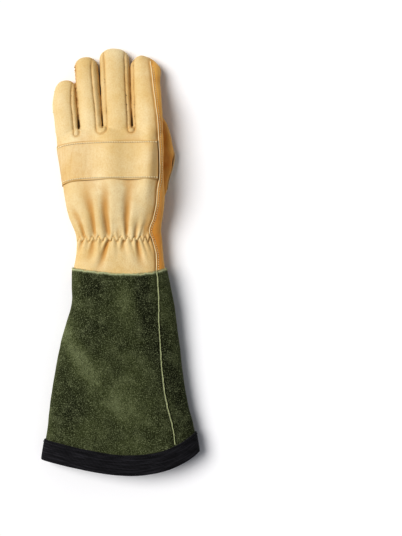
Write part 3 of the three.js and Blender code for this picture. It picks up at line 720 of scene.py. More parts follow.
def place(points):
    """Metres in the shared frame, from millimetres round the wrist seam."""
    return (np.asarray(points, float) + np.array([0.0, SHIFT_Y, 0.0])) * 0.001


def make_mesh(name, points, faces):
    mesh = bpy.data.meshes.new(name)
    faces = faces.tolist() if isinstance(faces, np.ndarray) else faces
    mesh.from_pydata(place(points).tolist(), [], faces)
    mesh.validate()
    mesh.update()
    return mesh


def add_object(name, data):
    """Object in the scene for a mesh, a lamp or a camera."""
    added = bpy.data.objects.new(name, data)
    bpy.context.scene.collection.objects.link(added)
    return added


def add_values(mesh, values):
    """Values from 0 to 1 for each point, which a material reads by name."""
    for name, value in values.items():
        attribute = mesh.attributes.new(name, "FLOAT", "POINT")
        attribute.data.foreach_set("value", np.asarray(value, np.float32))


def add_lengths(mesh, lengths):
    """Lengths along and across a strip, in metres, as the surface's own coordinates."""
    layer = mesh.uv_layers.new(name="strip")
    corner = np.zeros(len(mesh.loops), np.int32)
    mesh.loops.foreach_get("vertex_index", corner)
    layer.data.foreach_set("uv", (np.asarray(lengths)[corner] * 0.001).astype(np.float32).ravel())


def add_piece(name, points, faces, material, nodes=(), values=None, lengths=None, wall=0.0):
    mesh = make_mesh(name, points, faces)
    if values:
        add_values(mesh, values)
    if lengths is not None:
        add_lengths(mesh, lengths)
    mesh.polygons.foreach_set("use_smooth", np.ones(len(mesh.polygons), bool))
    piece = add_object(name, mesh)
    mesh.materials.append(material)
    if wall:
        solid = piece.modifiers.new("wall", "SOLIDIFY")
        solid.thickness = wall * 0.001
        solid.offset = -1
    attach(piece, "root")
    if nodes:
        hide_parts(*nodes)
    return piece


# Materials

def linear(colour):
    """Light shares of a display colour."""
    return (*[c / 12.92 if c <= 0.04045 else ((c + 0.055) / 1.055) ** 2.4 for c in colour], 1.0)


class Shader:
    """A node material under construction."""

    SOCKETS = {"roughness": "Roughness", "specular": "Specular IOR Level", "sheen": "Sheen Weight",
               "sheen_roughness": "Sheen Roughness", "sheen_tint": "Sheen Tint"}

    def __init__(self, name):
        self.material = bpy.data.materials.new(name)
        self.material.use_nodes = True
        self.tree = self.material.node_tree
        self.tree.nodes.clear()
        output = self.add("ShaderNodeOutputMaterial")
        self.skin = self.add("ShaderNodeBsdfPrincipled")
        self.link(self.skin.outputs[0], output.inputs["Surface"])
        self.place = self.add("ShaderNodeTexCoord").outputs["Object"]
        self.base = None

    def link(self, source, target):
        self.tree.links.new(source, target)

    def add(self, kind, inputs=None, **settings):
        """A node with its settings, its inputs linked or set to even values."""
        node = self.tree.nodes.new(kind)
        for name, value in settings.items():
            setattr(node, name, value)
        for name, source in (inputs or {}).items():
            if isinstance(source, bpy.types.NodeSocket):
                self.link(source, node.inputs[name])
            else:
                node.inputs[name].default_value = source
        return node

    def noise(self, scale, detail=2.0, roughness=0.5, coordinates=None):
        inputs = {"Vector": coordinates or self.place, "Scale": scale, "Detail": detail,
                  "Roughness": roughness}
        return self.add("ShaderNodeTexNoise", inputs).outputs["Fac"]

    def cells(self, scale):
        inputs = {"Vector": self.place, "Scale": scale}
        return self.add("ShaderNodeTexVoronoi", inputs).outputs["Distance"]

    def stretched(self, scale, coordinates=None):
        inputs = {"Vector": coordinates or self.place, "Scale": scale}
        return self.add("ShaderNodeMapping", inputs).outputs["Vector"]

    def value(self, name):
        return self.add("ShaderNodeAttribute", attribute_name=name).outputs["Fac"]

    def sum(self, a, b):
        return self.add("ShaderNodeMath", {0: a, 1: b}, operation="ADD").outputs[0]

    def range(self, source, low, high, to_low=0.0, to_high=1.0):
        inputs = {"Value": source, "From Min": low, "From Max": high, "To Min": to_low, "To Max": to_high}
        return self.add("ShaderNodeMapRange", inputs).outputs["Result"]

    def mix(self, amount, a, b):
        node = self.add("ShaderNodeMix", {"Factor": amount}, data_type="RGBA")
        for key, source in (("A", a), ("B", b)):
            socket = next(s for s in node.inputs if s.name == key and s.type == "RGBA")
            if isinstance(source, tuple):
                socket.default_value = linear(source)
            else:
                self.link(source, socket)
        return next(s for s in node.outputs if s.type == "RGBA")

    def over(self, source, low, high, amount, colour):
        """Lays a colour over the base, as a value rises from low to high."""
        self.base = self.mix(self.range(source, low, high, 0.0, amount), self.base, colour)

    def bump(self, height, distance, strength=1.0, onto=None):
        inputs = {"Height": height, "Distance": distance, "Strength": strength}
        if onto is not None:
            inputs["Normal"] = onto
        return self.add("ShaderNodeBump", inputs).outputs["Normal"]

    def finish(self, normal, **values):
        """Links the base and the bumps, sets the even values and gives the material."""
        self.link(self.base, self.skin.inputs["Base Color"])
        self.link(normal, self.skin.inputs["Normal"])
        for name, value in values.items():
            self.skin.inputs[self.SOCKETS[name]].default_value = value
        return self.material


def darker(colour, share):
    return tuple(c * share for c in colour)


def leather_material(name, colours, pebble=1.0):
    """Full grain leather: soft blotches, fine pebbles, and redder painted shade in creases, seams and
    gaps.
    """
    light, middle, deep = colours
    s = Shader(name)
    pebbles = s.cells(820)
    s.base = s.mix(s.range(s.noise(22, 3, 0.6), 0.36, 0.66), middle, light)
    s.over(s.noise(60, 2, 0.5, s.stretched((1.0, 0.22, 1.0))), 0.45, 0.75, 0.30, middle)
    s.over(pebbles, 0.25, 0.75, 0.20 * pebble, deep)
    # Painted shade in creases, folds and hollows and on sides away from the light, and the band's even
    # base darkening
    s.over(s.value("crease"), 0.10, 1.0, 0.80, deep)
    # Painted shade in the grooves of the seams and the gaps between the fingers
    s.over(s.value("seam"), 0.30, 1.0, 0.90, darker(deep, 0.40))
    fine = s.bump(s.noise(2600, 2, 0.6), 0.00010, 0.5)
    grain = s.bump(pebbles, 0.00022, 0.55 * pebble, fine)
    s.link(s.range(s.noise(300, 2), 0.3, 0.7, 0.50, 0.68), s.skin.inputs["Roughness"])
    return s.finish(s.bump(s.noise(190, 3, 0.55), 0.0007, 0.35, grain),
                    specular=0.32, sheen=0.06, sheen_roughness=0.4)


def suede_material(name, colours):
    """Split suede: speckled nap, brushed patches with painted light and shade, painted shade along the
    seam, and a pale raw edge.
    """
    deep, middle, light = colours
    s = Shader(name)
    nap = s.noise(900, 3, 0.75)
    # Brushed patches of the nap, partly painted light and shade of the cuff's soft folds
    brushed_and_shaded = s.sum(s.range(s.noise(24, 4, 0.66), 0.38, 0.62, 0.28, 0.82), s.value("nap"))
    s.base = s.mix(s.range(brushed_and_shaded, 0.0, 1.0), deep, middle)
    s.over(brushed_and_shaded, 0.85, 1.5, 0.45, light)
    s.over(s.noise(75, 3, 0.6), 0.50, 0.68, 0.18, light)
    s.over(nap, 0.50, 0.68, 0.85, light)
    s.over(s.noise(1100, 2, 0.6, s.stretched((1.0, 0.6, 1.0))), 0.50, 0.32, 0.75, deep)
    s.over(s.value("edge"), 0.0, 1.0, 1.0, RAW_EDGE[1])
    # Painted shade along the cuff's seam
    s.over(s.value("crease"), 0.0, 1.0, 0.6, darker(deep, 0.6))
    fibres = s.bump(nap, 0.0008, 0.8)
    return s.finish(s.bump(s.noise(2200, 2, 0.6), 0.0003, 0.5, fibres), roughness=0.95,
                    specular=0.12, sheen=0.35, sheen_roughness=0.5, sheen_tint=linear(light))


def edge_material(name, colours):
    """Cut edge of leather or suede: pale loose fibres."""
    deep, middle, light = colours
    s = Shader(name)
    fibres = s.noise(900, 3, 0.7)
    s.base = s.mix(s.range(fibres, 0.30, 0.55), deep, middle)
    s.over(s.noise(2300, 2, 0.6), 0.5, 0.7, 1.0, light)
    return s.finish(s.bump(fibres, 0.0005, 0.8), roughness=0.95, specular=0.1, sheen=0.2,
                    sheen_roughness=0.5)


def tape_material(name, colours, pitch=1.25):
    """Black twill tape: a diagonal weave of fine ribs, with streaks along its length."""
    deep, middle, light = colours
    s = Shader(name)
    strip = s.add("ShaderNodeUVMap", uv_map="strip").outputs["UV"]
    waves = {"Vector": strip, "Scale": 1000 / pitch / 20 * math.pi, "Distortion": 0.6, "Detail": 1.0}
    ribs = s.add("ShaderNodeTexWave", waves, wave_type="BANDS", bands_direction="DIAGONAL",
                 wave_profile="SIN").outputs["Fac"]
    s.base = s.mix(s.range(ribs, 0.0, 1.0, 0.35, 0.65), deep, middle)
    s.over(s.noise(700, 3, 0.6, s.stretched((0.06, 1.0, 1.0), strip)), 0.45, 0.70, 0.75, light)
    s.over(s.noise(1500, 3, 0.7), 0.56, 0.76, 0.8, light)
    weave = s.bump(ribs, 0.00035, 0.7)
    return s.finish(s.bump(s.noise(2400, 2, 0.6), 0.0002, 0.6, weave), roughness=0.85,
                    specular=0.18, sheen=0.12, sheen_roughness=0.4)


def thread_material(name, colours):
    """Twisted sewing thread."""
    deep, middle, light = colours
    s = Shader(name)
    twist = s.noise(2600, 2, 0.6)
    s.base = s.mix(s.range(twist, 0.35, 0.5), deep, middle)
    s.over(twist, 0.5, 0.7, 1.0, light)
    return s.finish(s.bump(twist, 0.0002, 0.6), roughness=0.6, specular=0.3, sheen=0.1,
                    sheen_roughness=0.4)


def floor_material(name, colours):
    _, middle, light = colours
    s = Shader(name)
    s.base = s.mix(s.range(s.noise(6, 2, 0.5), 0.3, 0.7), middle, light)
    return s.finish(s.bump(s.noise(500, 2, 0.5), 0.0002, 0.1), roughness=0.8, specular=0.1)


grain_leather = leather_material("grain_leather", GRAIN)
# The palm side's copy of the leather, painted warmer and deeper as shade
palm_leather = leather_material("palm_leather", SHADED_PALM_GRAIN, 0.8)
patch_leather = leather_material("patch_leather", PALE_GRAIN, 0.6)
green_suede = suede_material("green_suede", SUEDE)
raw_edge = edge_material("raw_edge", RAW_EDGE)
seam_edge = edge_material("seam_edge", SEAM_EDGE)
cut_leather = edge_material("cut_leather", CUT_LEATHER)
black_tape = tape_material("black_tape", BLACK_TAPE)
cream_thread = thread_material("cream_thread", THREAD)
needle_hole_shade = thread_material("needle_hole_shade", NEEDLE_HOLE_SHADE)
black_thread = thread_material("black_thread", BLACK_THREAD)


# Hand: one skin through the palm and the fingers, then folds, seams and panels

def ring_places(form, start_y, step):
    """Planes along a form, closing on its rounded end."""
    tip_y, tip_round = form.tip
    even = np.arange(start_y, tip_y - tip_round, step)
    turn = np.linspace(0, math.pi / 2, 12)[:-1]
    rounded = tip_y - tip_round + tip_round * np.sin(turn)
    return np.concatenate([even, rounded, [tip_y - 0.02]])


def loft(form, start_y, step, around):
    ys = ring_places(form, start_y, step)
    angles = np.linspace(0, 2 * math.pi, around, endpoint=False)
    points = form.skin(ys[:, None], angles[None, :]).reshape(-1, 3)
    return points, closed_faces(len(ys), around)


def joined(parts):
    points = []
    faces = []
    start = 0
    for part_points, part_faces in parts:
        points.append(part_points)
        faces += [[corner + start for corner in face] for face in part_faces]
        start += len(part_points)
    return np.concatenate(points), faces


def hand_skin():
    parts = [loft(palm_form, SKIRT_END_Y - 3, PALM_STEP, PALM_AROUND)]
    for form in finger_forms.values():
        parts.append(loft(form, form.values["y"][0], PALM_STEP, FINGER_AROUND))
    mesh = make_mesh("hand_lofts", *joined(parts))
    lofts = add_object("hand_lofts", mesh)
    remesh = lofts.modifiers.new("remesh", "REMESH")
    remesh.mode = "VOXEL"
    remesh.voxel_size = VOXEL * 0.001
    graph = bpy.context.evaluated_depsgraph_get()
    fine = bpy.data.meshes.new_from_object(lofts.evaluated_get(graph))
    points = np.zeros(len(fine.vertices) * 3)
    fine.vertices.foreach_get("co", points)
    points = points.reshape(-1, 3) * 1000 - np.array([0.0, SHIFT_Y, 0.0])
    corners = np.zeros(len(fine.loops), np.int64)
    fine.loops.foreach_get("vertex_index", corners)
    bpy.data.objects.remove(lofts)
    bpy.data.meshes.remove(fine)
    triangles = facing_out(points, triangles_of(corners.reshape(-1, 4)))
    return relax(points, triangles), triangles


def strip_value(strip, points):
    """Above zero inside a side strip, about its distance from the strip's edge."""
    x, y, _ = points.T
    at_y = np.maximum(y, PALM_LENGTH + 2)
    left_x = finger_seam_x(strip.left, at_y, strip.left_at)
    right_x = finger_seam_x(strip.right, at_y, strip.right_at)
    half = (right_x - left_x) / 2
    across = np.abs(x - (left_x + right_x) / 2)
    round_y = PALM_LENGTH - strip.foot_below + half
    return half - np.where(y > round_y, across, np.hypot(across, y - round_y))


def gap_side(left, right, points, from_y=PALM_LENGTH + 2):
    """Above zero on the thumb side of the line where two neighbouring fingers touch."""
    at_y = np.maximum(points[:, 1], from_y)
    return points[:, 0] - (finger_seam_x(left, at_y, 1) + finger_seam_x(right, at_y, -1)) / 2


def gap_distance(strip, points):
    """Distance in plan from the line where two neighbouring fingers touch."""
    before = np.maximum(PALM_LENGTH + 2.5 - points[:, 1], 0)
    return np.hypot(gap_side(strip.left, strip.right, points), before)


def front_value(points):
    """Above zero on the separate fronts of the ring and middle fingers, seen in plan."""
    x, y, _ = points.T
    at_y = np.maximum(y, PALM_LENGTH)
    left = finger_seam_x("ring", at_y, -1.05)
    right = finger_seam_x("middle", at_y, 1.05)
    return np.minimum(np.minimum(x - left, right - x), y - PALM_LENGTH - 1.5)


def hand_values(points):
    """Distances from the seams, each above zero on one side of its seam."""
    x, y, z = points.T
    values = {
        "wrist": y - SKIRT_END_Y,
        "above": z - middle_height(x, y),
        "beside": x - seam_x(y),
        "front": front_value(points),
        "between": gap_side("ring", "middle", points, PALM_LENGTH),
    }
    values.update({strip.name: strip_value(strip, points) for strip in STRIPS})
    return values


def ridge_height(x, y):
    """Soft ridges over the bones of the hand's back."""
    along = np.clip(y / PALM_LENGTH, 0, 1)
    total = np.full_like(x, -1.5)
    for wrist, crotch, high, wide in RIDGE_ROWS:
        total += high * bell(x - (wrist + (crotch - wrist) * along) * HAND_WIDTH, wide)
    return total * fade(y, 12, 50) * (1 - fade(y, PALM_LENGTH - 14, 26))


def tuck_height(x, y):
    """Interlocking tucks on both sides of the wrist seam."""
    tips = np.array(TUCKS) * HAND_WIDTH
    centre = tips.mean()
    turn = np.interp((x - centre) / (1 + 0.010 * np.abs(y)) + centre, tips, np.arange(len(tips)))
    wave = np.cos(2 * math.pi * turn)
    from_line = y + TUCK_ZIGZAG * wave
    groove = TUCK_GROOVE * bell(from_line, 1.0)
    rise = TUCK_RISE * wave * 0.5 * np.exp(-np.abs(from_line) / 9)
    return np.where(from_line > 0, rise, -rise) - groove, groove


def fold_depth(x, y):
    """Long soft folds that run out of the wrist seam."""
    total = np.zeros_like(x)
    x = x + 2.2 * noise(np.stack([x, y * 0.6, np.zeros_like(x)], 1), 16.0, 14)
    for near, far, reach, deep, wide in FOLD_ROWS:
        along = y / (reach * PALM_LENGTH)
        line = (near + (far - near) * np.clip(along, 0, 1.2)) * HAND_WIDTH
        away = (x - line) / (wide * (0.50 + 1.5 * np.clip(along, 0, 1)))
        ends = smooth_step(along * 6 + 0.2) * (1 - fade(along, 0.20, 1.0))
        total += deep * ends * (bell(away, 1.0) - 0.30 * bell(away, 2.4))
    return total


def from_tips(points):
    """Falls from 1 to 0 towards the rounded end of each finger."""
    x, y, _ = points.T
    ends = np.zeros(len(points))
    for form in finger_forms.values():
        on_finger = (x > form.at("left", y) - 1) & (x < form.at("right", y) + 1)
        ends = np.where(on_finger, form.tip[0] - form.fall(x, y), ends)
    return smooth_step((ends - y) / 14)


def back_relief(points, beside, back):
    """Tucks, folds and ridges of the hand's back, which sinks a little under the band, with painted shade
    in their hollows.
    """
    x, y, _ = points.T
    from_gathers = y - GATHER_Y
    tucks, groove = tuck_height(x, from_gathers)
    folds = fold_depth(x, from_gathers)
    ridges = ridge_height(x, y)
    height = tucks * (1 - fade(np.abs(from_gathers), 14, 16)) - folds + ridges
    band_far = PALM_LENGTH - BAND_FROM_CROTCH - 1.6 * BAND_DIP
    band_near = PALM_LENGTH - BAND_FROM_CROTCH - BAND_WIDTH
    covered = smooth_step((band_far - y) / 5) * fade(y, band_near + 1, 5)
    height -= 1.3 * covered * smooth_step((-beside - 2) / 4)
    patchy = 0.6 + 0.4 * noise(points, 4.0, 12)
    # Painted shade in the tuck grooves, the folds and the valleys between the ridges, and towards the
    # seam on the index side, which faces away from the light
    crease = groove / TUCK_GROOVE * patchy * 0.75 + np.clip(folds / 2.0, 0, 1) * 0.95
    crease += 0.30 * np.clip(-ridges, 0, 1) + 0.34 * fade(beside, -16, 14)
    return back * height, back * crease


def skin_waves(points, top):
    """Gathers of the palm by the wrist, and the small wrinkles of all the leather, with painted shade in
    their hollows.
    """
    wrist = (1 - top) * bell(points[:, 1], 16)
    wave = noise(points, 9.0, 5, (1.0, 0.45, 1.0))
    wrinkle = noise(points, 11.0, 2, (0.55, 1.0, 1.0)) * 0.30 + noise(points, 5.0, 3) * 0.12
    # Painted shade in the hollows of the gathers and the wrinkles
    crease = wrist * np.clip(-wave, 0, 1) * 0.6 + np.clip(-wrinkle * 0.5, 0, 0.25)
    return wrist * wave * 1.1 + wrinkle, crease


def seam_distances(points, values, on_top):
    """Distance from the nearest seam between two panels."""
    beside = values["beside"]
    in_strip = np.zeros(len(points), bool)
    edges = [np.where(on_top, np.abs(beside + 1.0), FAR_OFF)]
    for strip in STRIPS:
        in_strip |= values[strip.name] > 0
        hidden = (strip.right_at < -0.9) & (points[:, 1] > PALM_LENGTH)
        hidden &= gap_side(strip.left, strip.right, points) > 0
        edges.append(np.where(hidden, FAR_OFF, np.abs(values[strip.name])))
    edges.append(np.where(~in_strip & (beside < 1), np.abs(values["above"]), FAR_OFF))
    edges.append(np.where(~in_strip & (values["above"] < 1), np.abs(values["front"]), FAR_OFF))
    return np.min(edges, axis=0)


def seam_shade(points, beside, distance, gap, on_top, facing_up):
    """How much painted shade each point gets in a seam, in the gap between fingers and in the groove
    beside the raised edge, from 0 to 1.
    """
    past = points[:, 1] - PALM_LENGTH
    broken = 0.62 + 0.38 * noise(points, 6.0, 9)
    faint = (0.35 + 0.65 * fade(past, 4, 10)) * (1 - 0.35 * fade(past, 20, 20))
    by_gap = bell(gap, 1.1) * (1 - 0.85 * fade(past, 7, 18))
    seam = np.maximum(bell(distance, 0.60) * broken * faint, by_gap)
    # Painted shadow in the groove beside the raised edge
    on_back = np.where(on_top, bell(beside + 1.0, 0.62) * (0.80 + 0.3 * broken), 0.0)
    on_back *= 1 - 0.6 * fade(past, -12, 20)
    return np.maximum(seam * (0.4 + 0.6 * facing_up), on_back)


def hand_relief(points, normals, values):
    """Height over the plain skin, and how much painted shade each point gets in creases, seams and gaps
    and on the side away from the light.
    """
    y = points[:, 1]
    past = y - PALM_LENGTH
    beside = values["beside"]
    _, _, rise = palm_form.section(np.minimum(y, PALM_LENGTH - PALM_END_ROUND))
    top = smooth_step(values["above"] / (0.55 * rise))
    on_top = top > 0.2
    facing_up = np.clip(np.abs(normals[:, 2]) * 1.5 - 0.3, 0, 1)
    height, crease = back_relief(points, beside, top * smooth_step(0.5 - beside / 2))
    wave_height, wave_shade = skin_waves(points, top)
    height += wave_height
    crease += wave_shade

    tips = from_tips(points)
    distance = seam_distances(points, values, on_top)
    gap = np.min([gap_distance(strip, points) for strip in STRIPS], axis=0)
    sewn_line = bell(np.where(on_top, beside - STITCH_INSET, FAR_OFF), 0.6)
    for strip in STRIPS:
        height += 0.7 * smooth_step(values[strip.name] / 1.6) * tips
    height -= GAP_DEPTH * (1 - 0.65 * fade(past, 8, 16)) * bell(gap, 1.0) * facing_up
    height -= 0.75 * bell(distance, 1.15) * tips + 0.25 * sewn_line
    # Painted shade along the seams, in the gaps between the fingers and along the stitch line
    crease += 0.38 * bell(distance, 1.8) + 0.35 * bell(gap, 2.4) + 0.30 * sewn_line
    # Painted shade on the wrap beside the seam, which faces away from the light, deepest towards the
    # wrist
    crease += (0.52 - 0.42 * fade(past, -20, 60)) * top * smooth_step(beside / 3)
    seam = seam_shade(points, beside, distance, gap, on_top, facing_up)
    return height, np.clip(crease, 0, 1), np.clip(seam, 0, 1)


def hand_panels():
    """Skin of the hand cut into its leather pieces."""
    points, triangles = hand_skin()
    for key in hand_values(points[:1]):
        value = hand_values(points)[key]
        if key == "between":
            value = np.where(points[:, 1] > PALM_LENGTH - 4, value, 1.0)
        points, triangles = cut(points, triangles, value)
    inside = {key: value > 0 for key, value in hand_values(points[triangles].mean(1)).items()}
    normals = normals_of(points, triangles)
    height, crease, seam = hand_relief(points, normals, hand_values(points))
    points = points + normals * height[:, None]
    points[:, 2] = np.maximum(points[:, 2], 0.2)
    kept = inside["wrist"]
    panels = {strip.name: kept & inside[strip.name] for strip in STRIPS}
    rest = kept & ~np.any(list(panels.values()), axis=0)
    front = rest & ~inside["above"] & ~inside["beside"] & inside["front"]
    panels["ring_front"] = front & ~inside["between"]
    panels["middle_front"] = front & inside["between"]
    panels["back_panel"] = rest & inside["above"] & ~inside["beside"]
    panels["palm_panel"] = rest & ~panels["back_panel"] & ~front
    return points, triangles, panels, crease, seam


def add_leather(node, keep, slot, points, triangles, crease, seam):
    """Part of a skin as a thick piece of leather, in place of one solid."""
    name = "leather_" + node.replace("_panel", "").replace("fourchette", "strip")
    leather = {"palm_leather": palm_leather, "grain_leather": grain_leather}[slot]
    points, faces, crease, seam = piece_of(points, triangles, keep, crease, seam)
    # Both values are painted shade: in creases and on far sides, and in the seams and gaps
    values = {"crease": crease, "seam": seam}
    add_piece(name, points, faces, leather, [node], values, wall=LEATHER_WALL)


def add_hand():
    points, triangles, panels, crease, seam = hand_panels()
    for node, keep in panels.items():
        slot = "palm_leather" if node in PALM_SIDE else "grain_leather"
        add_leather(node, keep, slot, points, triangles, crease, seam)
    return points, triangles


# Thumb, folded under the index side

def from_thumb_middle(points):
    """Distance from the thumb's own seam, above zero on its outer side."""
    middle, _, _ = thumb_form.section(points[:, 1])
    return points[:, 0] - middle


def thumb_relief(points, seam_distance):
    x, y, _ = points.T
    past = y - THUMB_START
    fold = 1.1 * bell(past - x * 0.25 - 0.37 * THUMB_LENGTH, 4.2)
    fold += 0.5 * bell(past + x * 0.2 - 0.62 * THUMB_LENGTH, 3.6)
    wrinkle = noise(points, 7.0, 11, (0.8, 1.0, 0.8)) * 0.45
    height = wrinkle - fold - bell(seam_distance, 1.1)
    # Painted shade: the whole thumb, which lies in shade under the hand, deeper in its folds, its wrinkle
    # hollows and along its seam
    crease = 0.34 + fold / 3.5 - wrinkle * 0.3 + 0.4 * bell(seam_distance, 2.2)
    return height * smooth_step(past / THUMB_LENGTH * 5), np.clip(crease, 0, 1)


def add_thumb():
    points, _ = loft(thumb_form, THUMB_START, THUMB_STEP, THUMB_AROUND)
    triangles = triangles_of(grid_faces(len(points) // THUMB_AROUND, THUMB_AROUND, wrap=True))
    last = np.arange(len(points) - THUMB_AROUND, len(points))
    cap = np.stack([np.full(THUMB_AROUND, last[0]), last, np.roll(last, -1)], 1)[1:-1]
    triangles = facing_out(points, np.concatenate([triangles, cap]))
    points, triangles = cut(points, triangles, palm_form.inside(points))
    points, triangles = cut(points, triangles, from_thumb_middle(points))
    centres = points[triangles].mean(1)
    outside = palm_form.inside(centres) > 0
    outer = from_thumb_middle(centres) > 0
    distance = np.abs(from_thumb_middle(points))
    height, crease = thumb_relief(points, distance)
    points = points + normals_of(points, triangles) * height[:, None]
    points[:, 2] = np.maximum(points[:, 2], PATCH_WALL)
    # Painted shade along the thumb's seam
    seam = bell(distance, 0.7)
    for node, side in (("thumb_outer", outer), ("thumb_inner", ~outer)):
        add_leather(node, outside & side, "palm_leather", points, triangles, crease, seam)
    return points, triangles[outside]


# Overlays: a strip of leather sewn on top of a form

def even_step(points, axis):
    """Mean distance between neighbouring points of a grid along one axis."""
    return np.linalg.norm(np.diff(points, axis=axis), axis=2).mean()


def overlay(form, ys, angles, rise, edge, relief=None):
    """Closed strip over a form, its edges rounded down to the skin."""
    rows, columns = ys.shape
    flat = form.skin(ys, angles, rise)
    row = np.minimum(np.arange(rows), np.arange(rows)[::-1])[:, None] * even_step(flat, 0)
    column = np.minimum(np.arange(columns), np.arange(columns)[::-1])[None, :] * even_step(flat, 1)
    near = np.minimum(row, column)
    full = 1 - (1 - np.clip(near / edge, 0, 1)) ** 2.5
    heights = 0.45 * rise + 0.55 * rise * full
    if relief is not None:
        heights = heights + relief(flat.reshape(-1, 3)).reshape(full.shape) * full
    high = form.skin(ys, angles, heights)
    low = form.skin(ys, angles, heights - rise)
    points = np.concatenate([high.reshape(-1, 3), low.reshape(-1, 3)])
    count = rows * columns
    top = grid_faces(rows, columns)
    ring = np.arange(count).reshape(rows, columns)
    border = np.concatenate([ring[0], ring[1:, -1], ring[-1, -2::-1], ring[-2:0:-1, 0]])
    after = np.roll(border, -1)
    sides = np.stack([after, border, border + count, after + count], 1)
    faces = quads_out(points, np.concatenate([top, top[:, ::-1] + count, sides]))
    return points, faces, np.concatenate([near.ravel(), np.zeros(count)])


def band_places(across, down):
    """Planes and angles over the band, at shares across and a distance down from its far edge."""
    dip = BAND_DIP * smooth_step((across - 0.45) / 0.9) * 1.6
    y = PALM_LENGTH - BAND_FROM_CROTCH - dip - down
    middle, half, _ = palm_form.section(y, BAND_WALL)
    start = palm_form.angle_of((seam_x(y) - WELT_WIDTH / 2 - SEAM_GAP - middle) / half)
    return y, start + (math.pi - start) * across


def band_crease_lines(points, wide):
    """Fine creases on the little finger's side of the band, from 0 to 1."""
    lines = np.abs(noise(points, 3.2, 22, (1.0, 0.12, 1.0)))
    return smooth_step(-points[:, 0] / 50) * (1 - smooth_step(lines / wide))


def band_relief(points):
    soft = noise(points, 8.0, 21, (1.0, 0.30, 1.0)) * 0.22
    return soft - 0.18 * band_crease_lines(points, 0.25) + ridge_height(points[:, 0], points[:, 1])


def add_band():
    rows, columns = BAND_GRID
    ys, angles = band_places(np.linspace(0, 1, columns)[None, :],
                             BAND_WIDTH * np.linspace(0, 1, rows)[:, None])
    points, faces, near = overlay(palm_form, ys, angles, BAND_WALL + SEAM_GAP, 1.3, band_relief)
    x, y, _ = points.T
    # Painted shade along the band's edges and stitch rows, in its fine creases and towards the seam side,
    # which faces away from the light, over an even darkening that grows towards the little finger's side
    crease = 0.14 + 0.16 * band_crease_lines(points, 0.3) + 0.45 * bell(near, 0.9)
    crease += 0.34 * fade(x, seam_x(y) - 16, 14) + 0.17 * smooth_step((-14.0 - x) / 26)
    crease += 0.22 * bell(near - BAND_STITCH_INSET, 0.55)
    # Painted shadow along the band's very edges
    values = {"crease": np.clip(crease, 0, 1), "seam": 0.45 * bell(near, 0.35)}
    return add_piece("leather_band", points, faces, grain_leather,
                     ["knuckle_band"], values)


def add_patch():
    rows, columns = PATCH_GRID
    y = THUMB_START + np.linspace(*PATCH_REACH, rows)[:, None] * THUMB_LENGTH
    angles = np.linspace(*PATCH_TURN, columns)[None, :] * math.pi
    ys, angles = np.broadcast_arrays(y, angles)
    points, faces, near = overlay(thumb_form, ys, angles, PATCH_WALL + SEAM_GAP, 1.1)
    # Painted shade along the patch's edges
    values = {"crease": 0.4 * bell(near, 0.9), "seam": 0.4 * bell(near, 0.35)}
    return add_piece("leather_patch", points, faces, patch_leather,
                     ["thumb_patch"], values)


# Stitches: short rounded threads laid on the surface

def finder(points, triangles):
    return BVHTree.FromPolygons(points.tolist(), triangles.tolist())


def finder_of(piece):
    graph = bpy.context.evaluated_depsgraph_get()
    mesh = piece.evaluated_get(graph).data
    points = np.array([v.co for v in mesh.vertices]) * 1000 - np.array([0.0, SHIFT_Y, 0.0])
    faces = [list(p.vertices) for p in mesh.polygons]
    return BVHTree.FromPolygons(points.tolist(), faces)


def dropped(path, trees, from_above=True):
    """Points of a plan line dropped on the outer surface, with its normals."""
    height, fall = (90.0, -1) if from_above else (-10.0, 1)
    down = Vector((0, 0, fall))
    found = []
    for x, y in path:
        hits = [tree.ray_cast(Vector((x, y, height)), down) for tree in trees]
        hits = [hit for hit in hits if hit[0] is not None]
        if hits:
            at, normal, _, _ = min(hits, key=lambda hit: hit[3])
            found.append((np.array(at), np.array(normal if normal.z * fall < 0 else -normal)))
    return found


def spaced(path, pitch):
    """Points at an even pitch along a line."""
    path = np.asarray(path, float)
    length = run_length(path)
    places = np.arange(pitch / 2, length[-1], pitch)
    return np.stack([np.interp(places, length, path[:, k]) for k in range(path.shape[1])], 1)


def stitch_shape(length, radius):
    """Rounded thread along x, with six sides."""
    stations = ((-0.5, 0.25), (-0.38, 0.85), (0.0, 1.0), (0.38, 0.85), (0.5, 0.25))
    turn = np.arange(6) * math.pi / 3
    rings = [np.stack([np.full(6, at * length), np.cos(turn) * radius * wide,
                       np.sin(turn) * radius * wide], 1) for at, wide in stations]
    return np.concatenate(rings), closed_faces(len(stations), 6)


def sewn(found, length, radius, sink=0.35):
    """Points and faces of a stitch at each found place, along the line of places."""
    shape, shape_faces = stitch_shape(length, radius)
    parts = []
    for k, (point, normal) in enumerate(found):
        ahead = found[min(k + 1, len(found) - 1)][0] - found[max(k - 1, 0)][0]
        if not 1e-6 <= np.linalg.norm(ahead) <= 12 * length:
            continue
        side = np.cross(normal, ahead)
        side /= max(np.linalg.norm(side), 1e-9)
        ahead = np.cross(side, normal)
        axes = np.stack([ahead / np.linalg.norm(ahead), side, normal])
        parts.append((shape @ axes + point + normal * radius * sink, shape_faces))
    return parts


def add_stitches(name, parts, material):
    points, faces = joined(parts)
    points[:, 2] = np.maximum(points[:, 2], ABOVE_FLOOR)
    return add_piece(name, points, faces, material)


def needle_holes(found, radius):
    """Small dark marks between the stitches of a row: painted shade of the needle holes."""
    between = [((a + b) / 2, normal) for (a, normal), (b, _) in zip(found[:-1], found[1:])
               if np.linalg.norm(b - a) < 2 * STITCH_PITCH]
    return sewn(between, HOLE_LENGTH, radius, 0.1)


def band_line(down):
    """Plan line beside the band's upper or lower edge."""
    y, angle = band_places(np.linspace(0.01, 0.93, 160), down)
    return palm_form.skin(y, angle, BAND_WALL)[:, :2]


